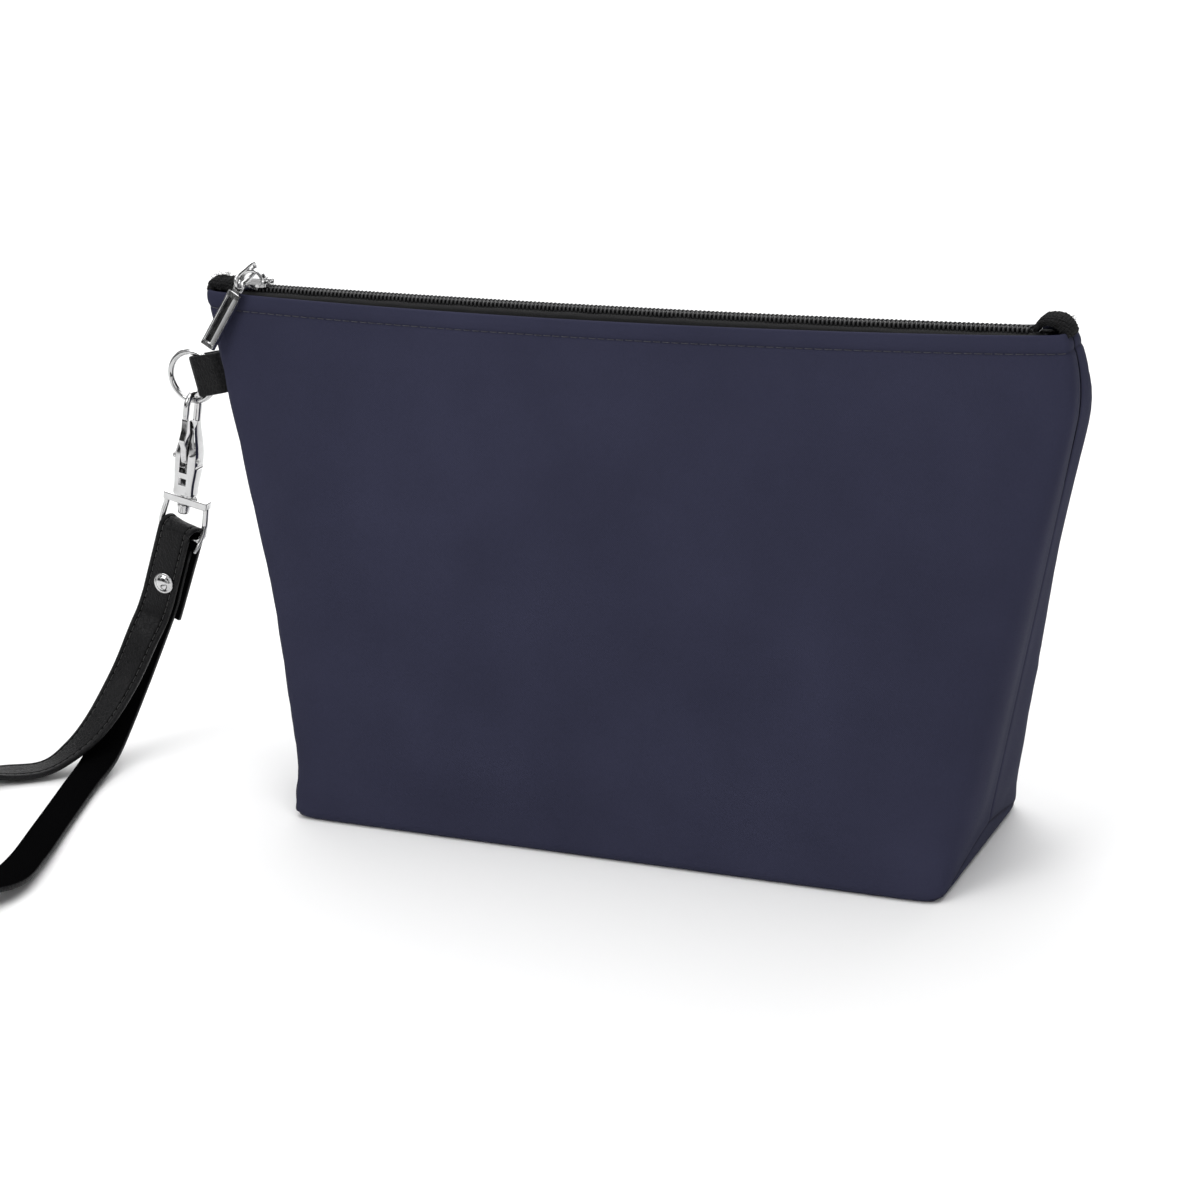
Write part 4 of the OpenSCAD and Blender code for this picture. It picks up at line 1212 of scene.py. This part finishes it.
def make_swivel():
    place = HOOK_FRAME @ Matrix.Translation((0, 0.5 * MM, 0))
    post = join("post", [lathe([(r * MM, z * MM) for r, z in (
        (0.001, -40.15), (1.2, -40.1), (1.75, -39.85), (1.95, -39.4), (2.1, -38.2),
        (2.3, -37.2), (2.3, -36.95), (2.15, -36.72), (1.5, -36.7), (1.5, -33.0), (1.2, -32.6),
        (0.001, -32.5))], 48)], METAL)
    moved(post, place)
    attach(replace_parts(post, "swivel_post"), "hook")

    bar = make("loop", *block((-7.4 * MM, -1.7 * MM, -36.4 * MM),
                              (9.2 * MM, 1.7 * MM, -33.8 * MM)), METAL)
    hole = make("hole", *lathe([(1.56 * MM, -38 * MM), (1.56 * MM, -32 * MM)], 48), METAL)
    combine(bar, [hole], "DIFFERENCE")
    soften(bar, 0.5 * MM, 4, 40)
    wire = [(-6.5, 0, -35.0), (-6.7, 0, -38), (-7.4, 0, -41), (-8.0, 0, -44.5)]
    wire += [(-5.2 - 2.8 * math.cos(t), 0, -45.2 - 2.8 * math.sin(t))
             for t in np.linspace(0.25, math.pi / 2, 6)]
    wire += [(5.4 + 2.8 * math.cos(t), 0, -45.2 - 2.8 * math.sin(t))
             for t in np.linspace(math.pi / 2, 0.25, 6)]
    wire += [(8.3, 0, -44.5), (8.5, 0, -41), (8.4, 0, -38), (8.3, 0, -35.0)]
    tail = [(8.5, -0.3, -42.2), (8.7, -0.9, -44.5), (8.5, -1.8, -47), (8.2, -2.9, -49.2),
            (7.7, -3.6, -50.9)]
    wires = join("wires", [tube(spline(np.array(wire) * MM, 5), 1.0 * MM, 20),
                           tube(spline(np.array(tail) * MM, 5), 0.72 * MM, 16,
                                np.linspace(1.15, 0.6, 21))], METAL)
    merge(bar, wires)
    moved(bar, place)
    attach(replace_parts(bar, "d_loop"), "loop")


make_hook()
make_gate()
make_swivel()


# ---- unseen CAD nodes: the seam bindings ----------------------------------
def make_bindings():
    """Tape folded over the side seams' allowance, inside the lining."""
    for word, side in (("left", -1), ("right", 1)):
        low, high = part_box("seam_binding_" + word)
        outer = (low.x, high.x) if side < 0 else (high.x, low.x)
        line = spline([(outer[0] - side * 3.6 * MM, 0, high.z),
                       ((outer[0] + outer[1] - side * 7 * MM) / 2 - side * 0.1 * MM, 0,
                        (low.z + high.z) / 2),
                       (outer[1] + side * 3.4 * MM, 0, low.z)], 14)
        section = np.array([(-3.4, -0.9), (3.2, -0.9), (3.5, 0), (3.2, 0.9),
                            (-3.4, 0.9)]) * MM
        points, faces = sweep(line, np.tile((1, 0, 0), (len(line), 1)), section)
        tape = make("binding_" + word, points, faces, TAPE)
        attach(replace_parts(tape, "seam_binding_" + word), "pouch")


make_bindings()


# ---- studio ---------------------------------------------------------------
def area(name, place, target, size, watts):
    data = bpy.data.lights.new(name, "AREA")
    data.shape, data.size, data.size_y = "RECTANGLE", *size
    data.energy = watts
    light = bpy.data.objects.new(name, data)
    light.location = place
    light.rotation_euler = (Vector(target) - Vector(place)).to_track_quat("-Z", "Y").to_euler()
    bpy.context.collection.objects.link(light)


def card(name, corners, shade):
    """A card that only mirrors see."""
    n = Nodes(name)
    n.set(Base_Color=(*shade, 1), Roughness=0.9)
    obj = make(name, corners, [(0, 1, 2, 3)], n.material)
    obj.visible_camera = obj.visible_diffuse = obj.visible_shadow = False


def make_studio():
    floor = Nodes("pale floor")
    tone = floor.noise(floor.place(), 3, 2)
    floor.set(Base_Color=floor.mix(tone, (0.90, 0.90, 0.90), (0.93, 0.93, 0.93)),
              Roughness=0.85, Specular_IOR_Level=0.1)
    make("floor", [(-6, -6, 0), (6, -6, 0), (6, 8, 0), (-6, 8, 0)],
                  [(0, 1, 2, 3)], floor.material)
    # a room with bright and dark parts, for the metal to mirror
    world = bpy.data.worlds.new("studio")
    world.use_nodes = True
    tree = world.node_tree
    where = tree.nodes.new("ShaderNodeTexCoord")
    cloud = tree.nodes.new("ShaderNodeTexNoise")
    ramp = tree.nodes.new("ShaderNodeValToRGB")
    cloud.inputs["Scale"].default_value, cloud.inputs["Detail"].default_value = 2.6, 1.0
    ramp.color_ramp.elements[0].position, ramp.color_ramp.elements[1].position = 0.48, 0.58
    ramp.color_ramp.elements[0].color = (0.02, 0.02, 0.022, 1)
    tree.links.new(where.outputs["Generated"], cloud.inputs["Vector"])
    tree.links.new(cloud.outputs["Fac"], ramp.inputs["Fac"])
    tree.links.new(ramp.outputs["Color"], tree.nodes["Background"].inputs[0])
    tree.nodes["Background"].inputs[1].default_value = 0.75
    bpy.context.scene.world = world
    bpy.context.scene.view_settings.view_transform = "Standard"
    middle = (-0.02, 0, 0.08)
    area("top", (0.0, 0.1, 1.3), middle, (1.8, 1.6), 17)
    area("key", (-0.55, -1.0, 0.95), middle, (0.7, 0.7), 5.5)
    area("fill", (1.1, -0.7, 0.6), middle, (0.8, 0.8), 2.6)
    area("behind", (-0.9, 2.3, 1.5), (-0.8, 2.0, 0), (3.6, 2.4), 62)
    # a dark mat on the floor, below the camera's view
    a = math.radians(AZIMUTH)
    ahead, right = Vector((math.sin(a), -math.cos(a), 0)), Vector((math.cos(a), math.sin(a), 0))
    near, far = (ahead * d + Vector((0, 0, 0.001)) for d in (0.275, 0.70))
    card("dark mat", [near - right * 0.5, near + right * 0.3, far + right * 0.3,
                      far - right * 0.5], (0.008,) * 3)
    card("dark card left", [(-0.62, -0.75, 0.0), (-0.42, -0.95, 0.0),
                            (-0.42, -0.95, 0.55), (-0.62, -0.75, 0.55)], (0.01,) * 3)


make_studio()
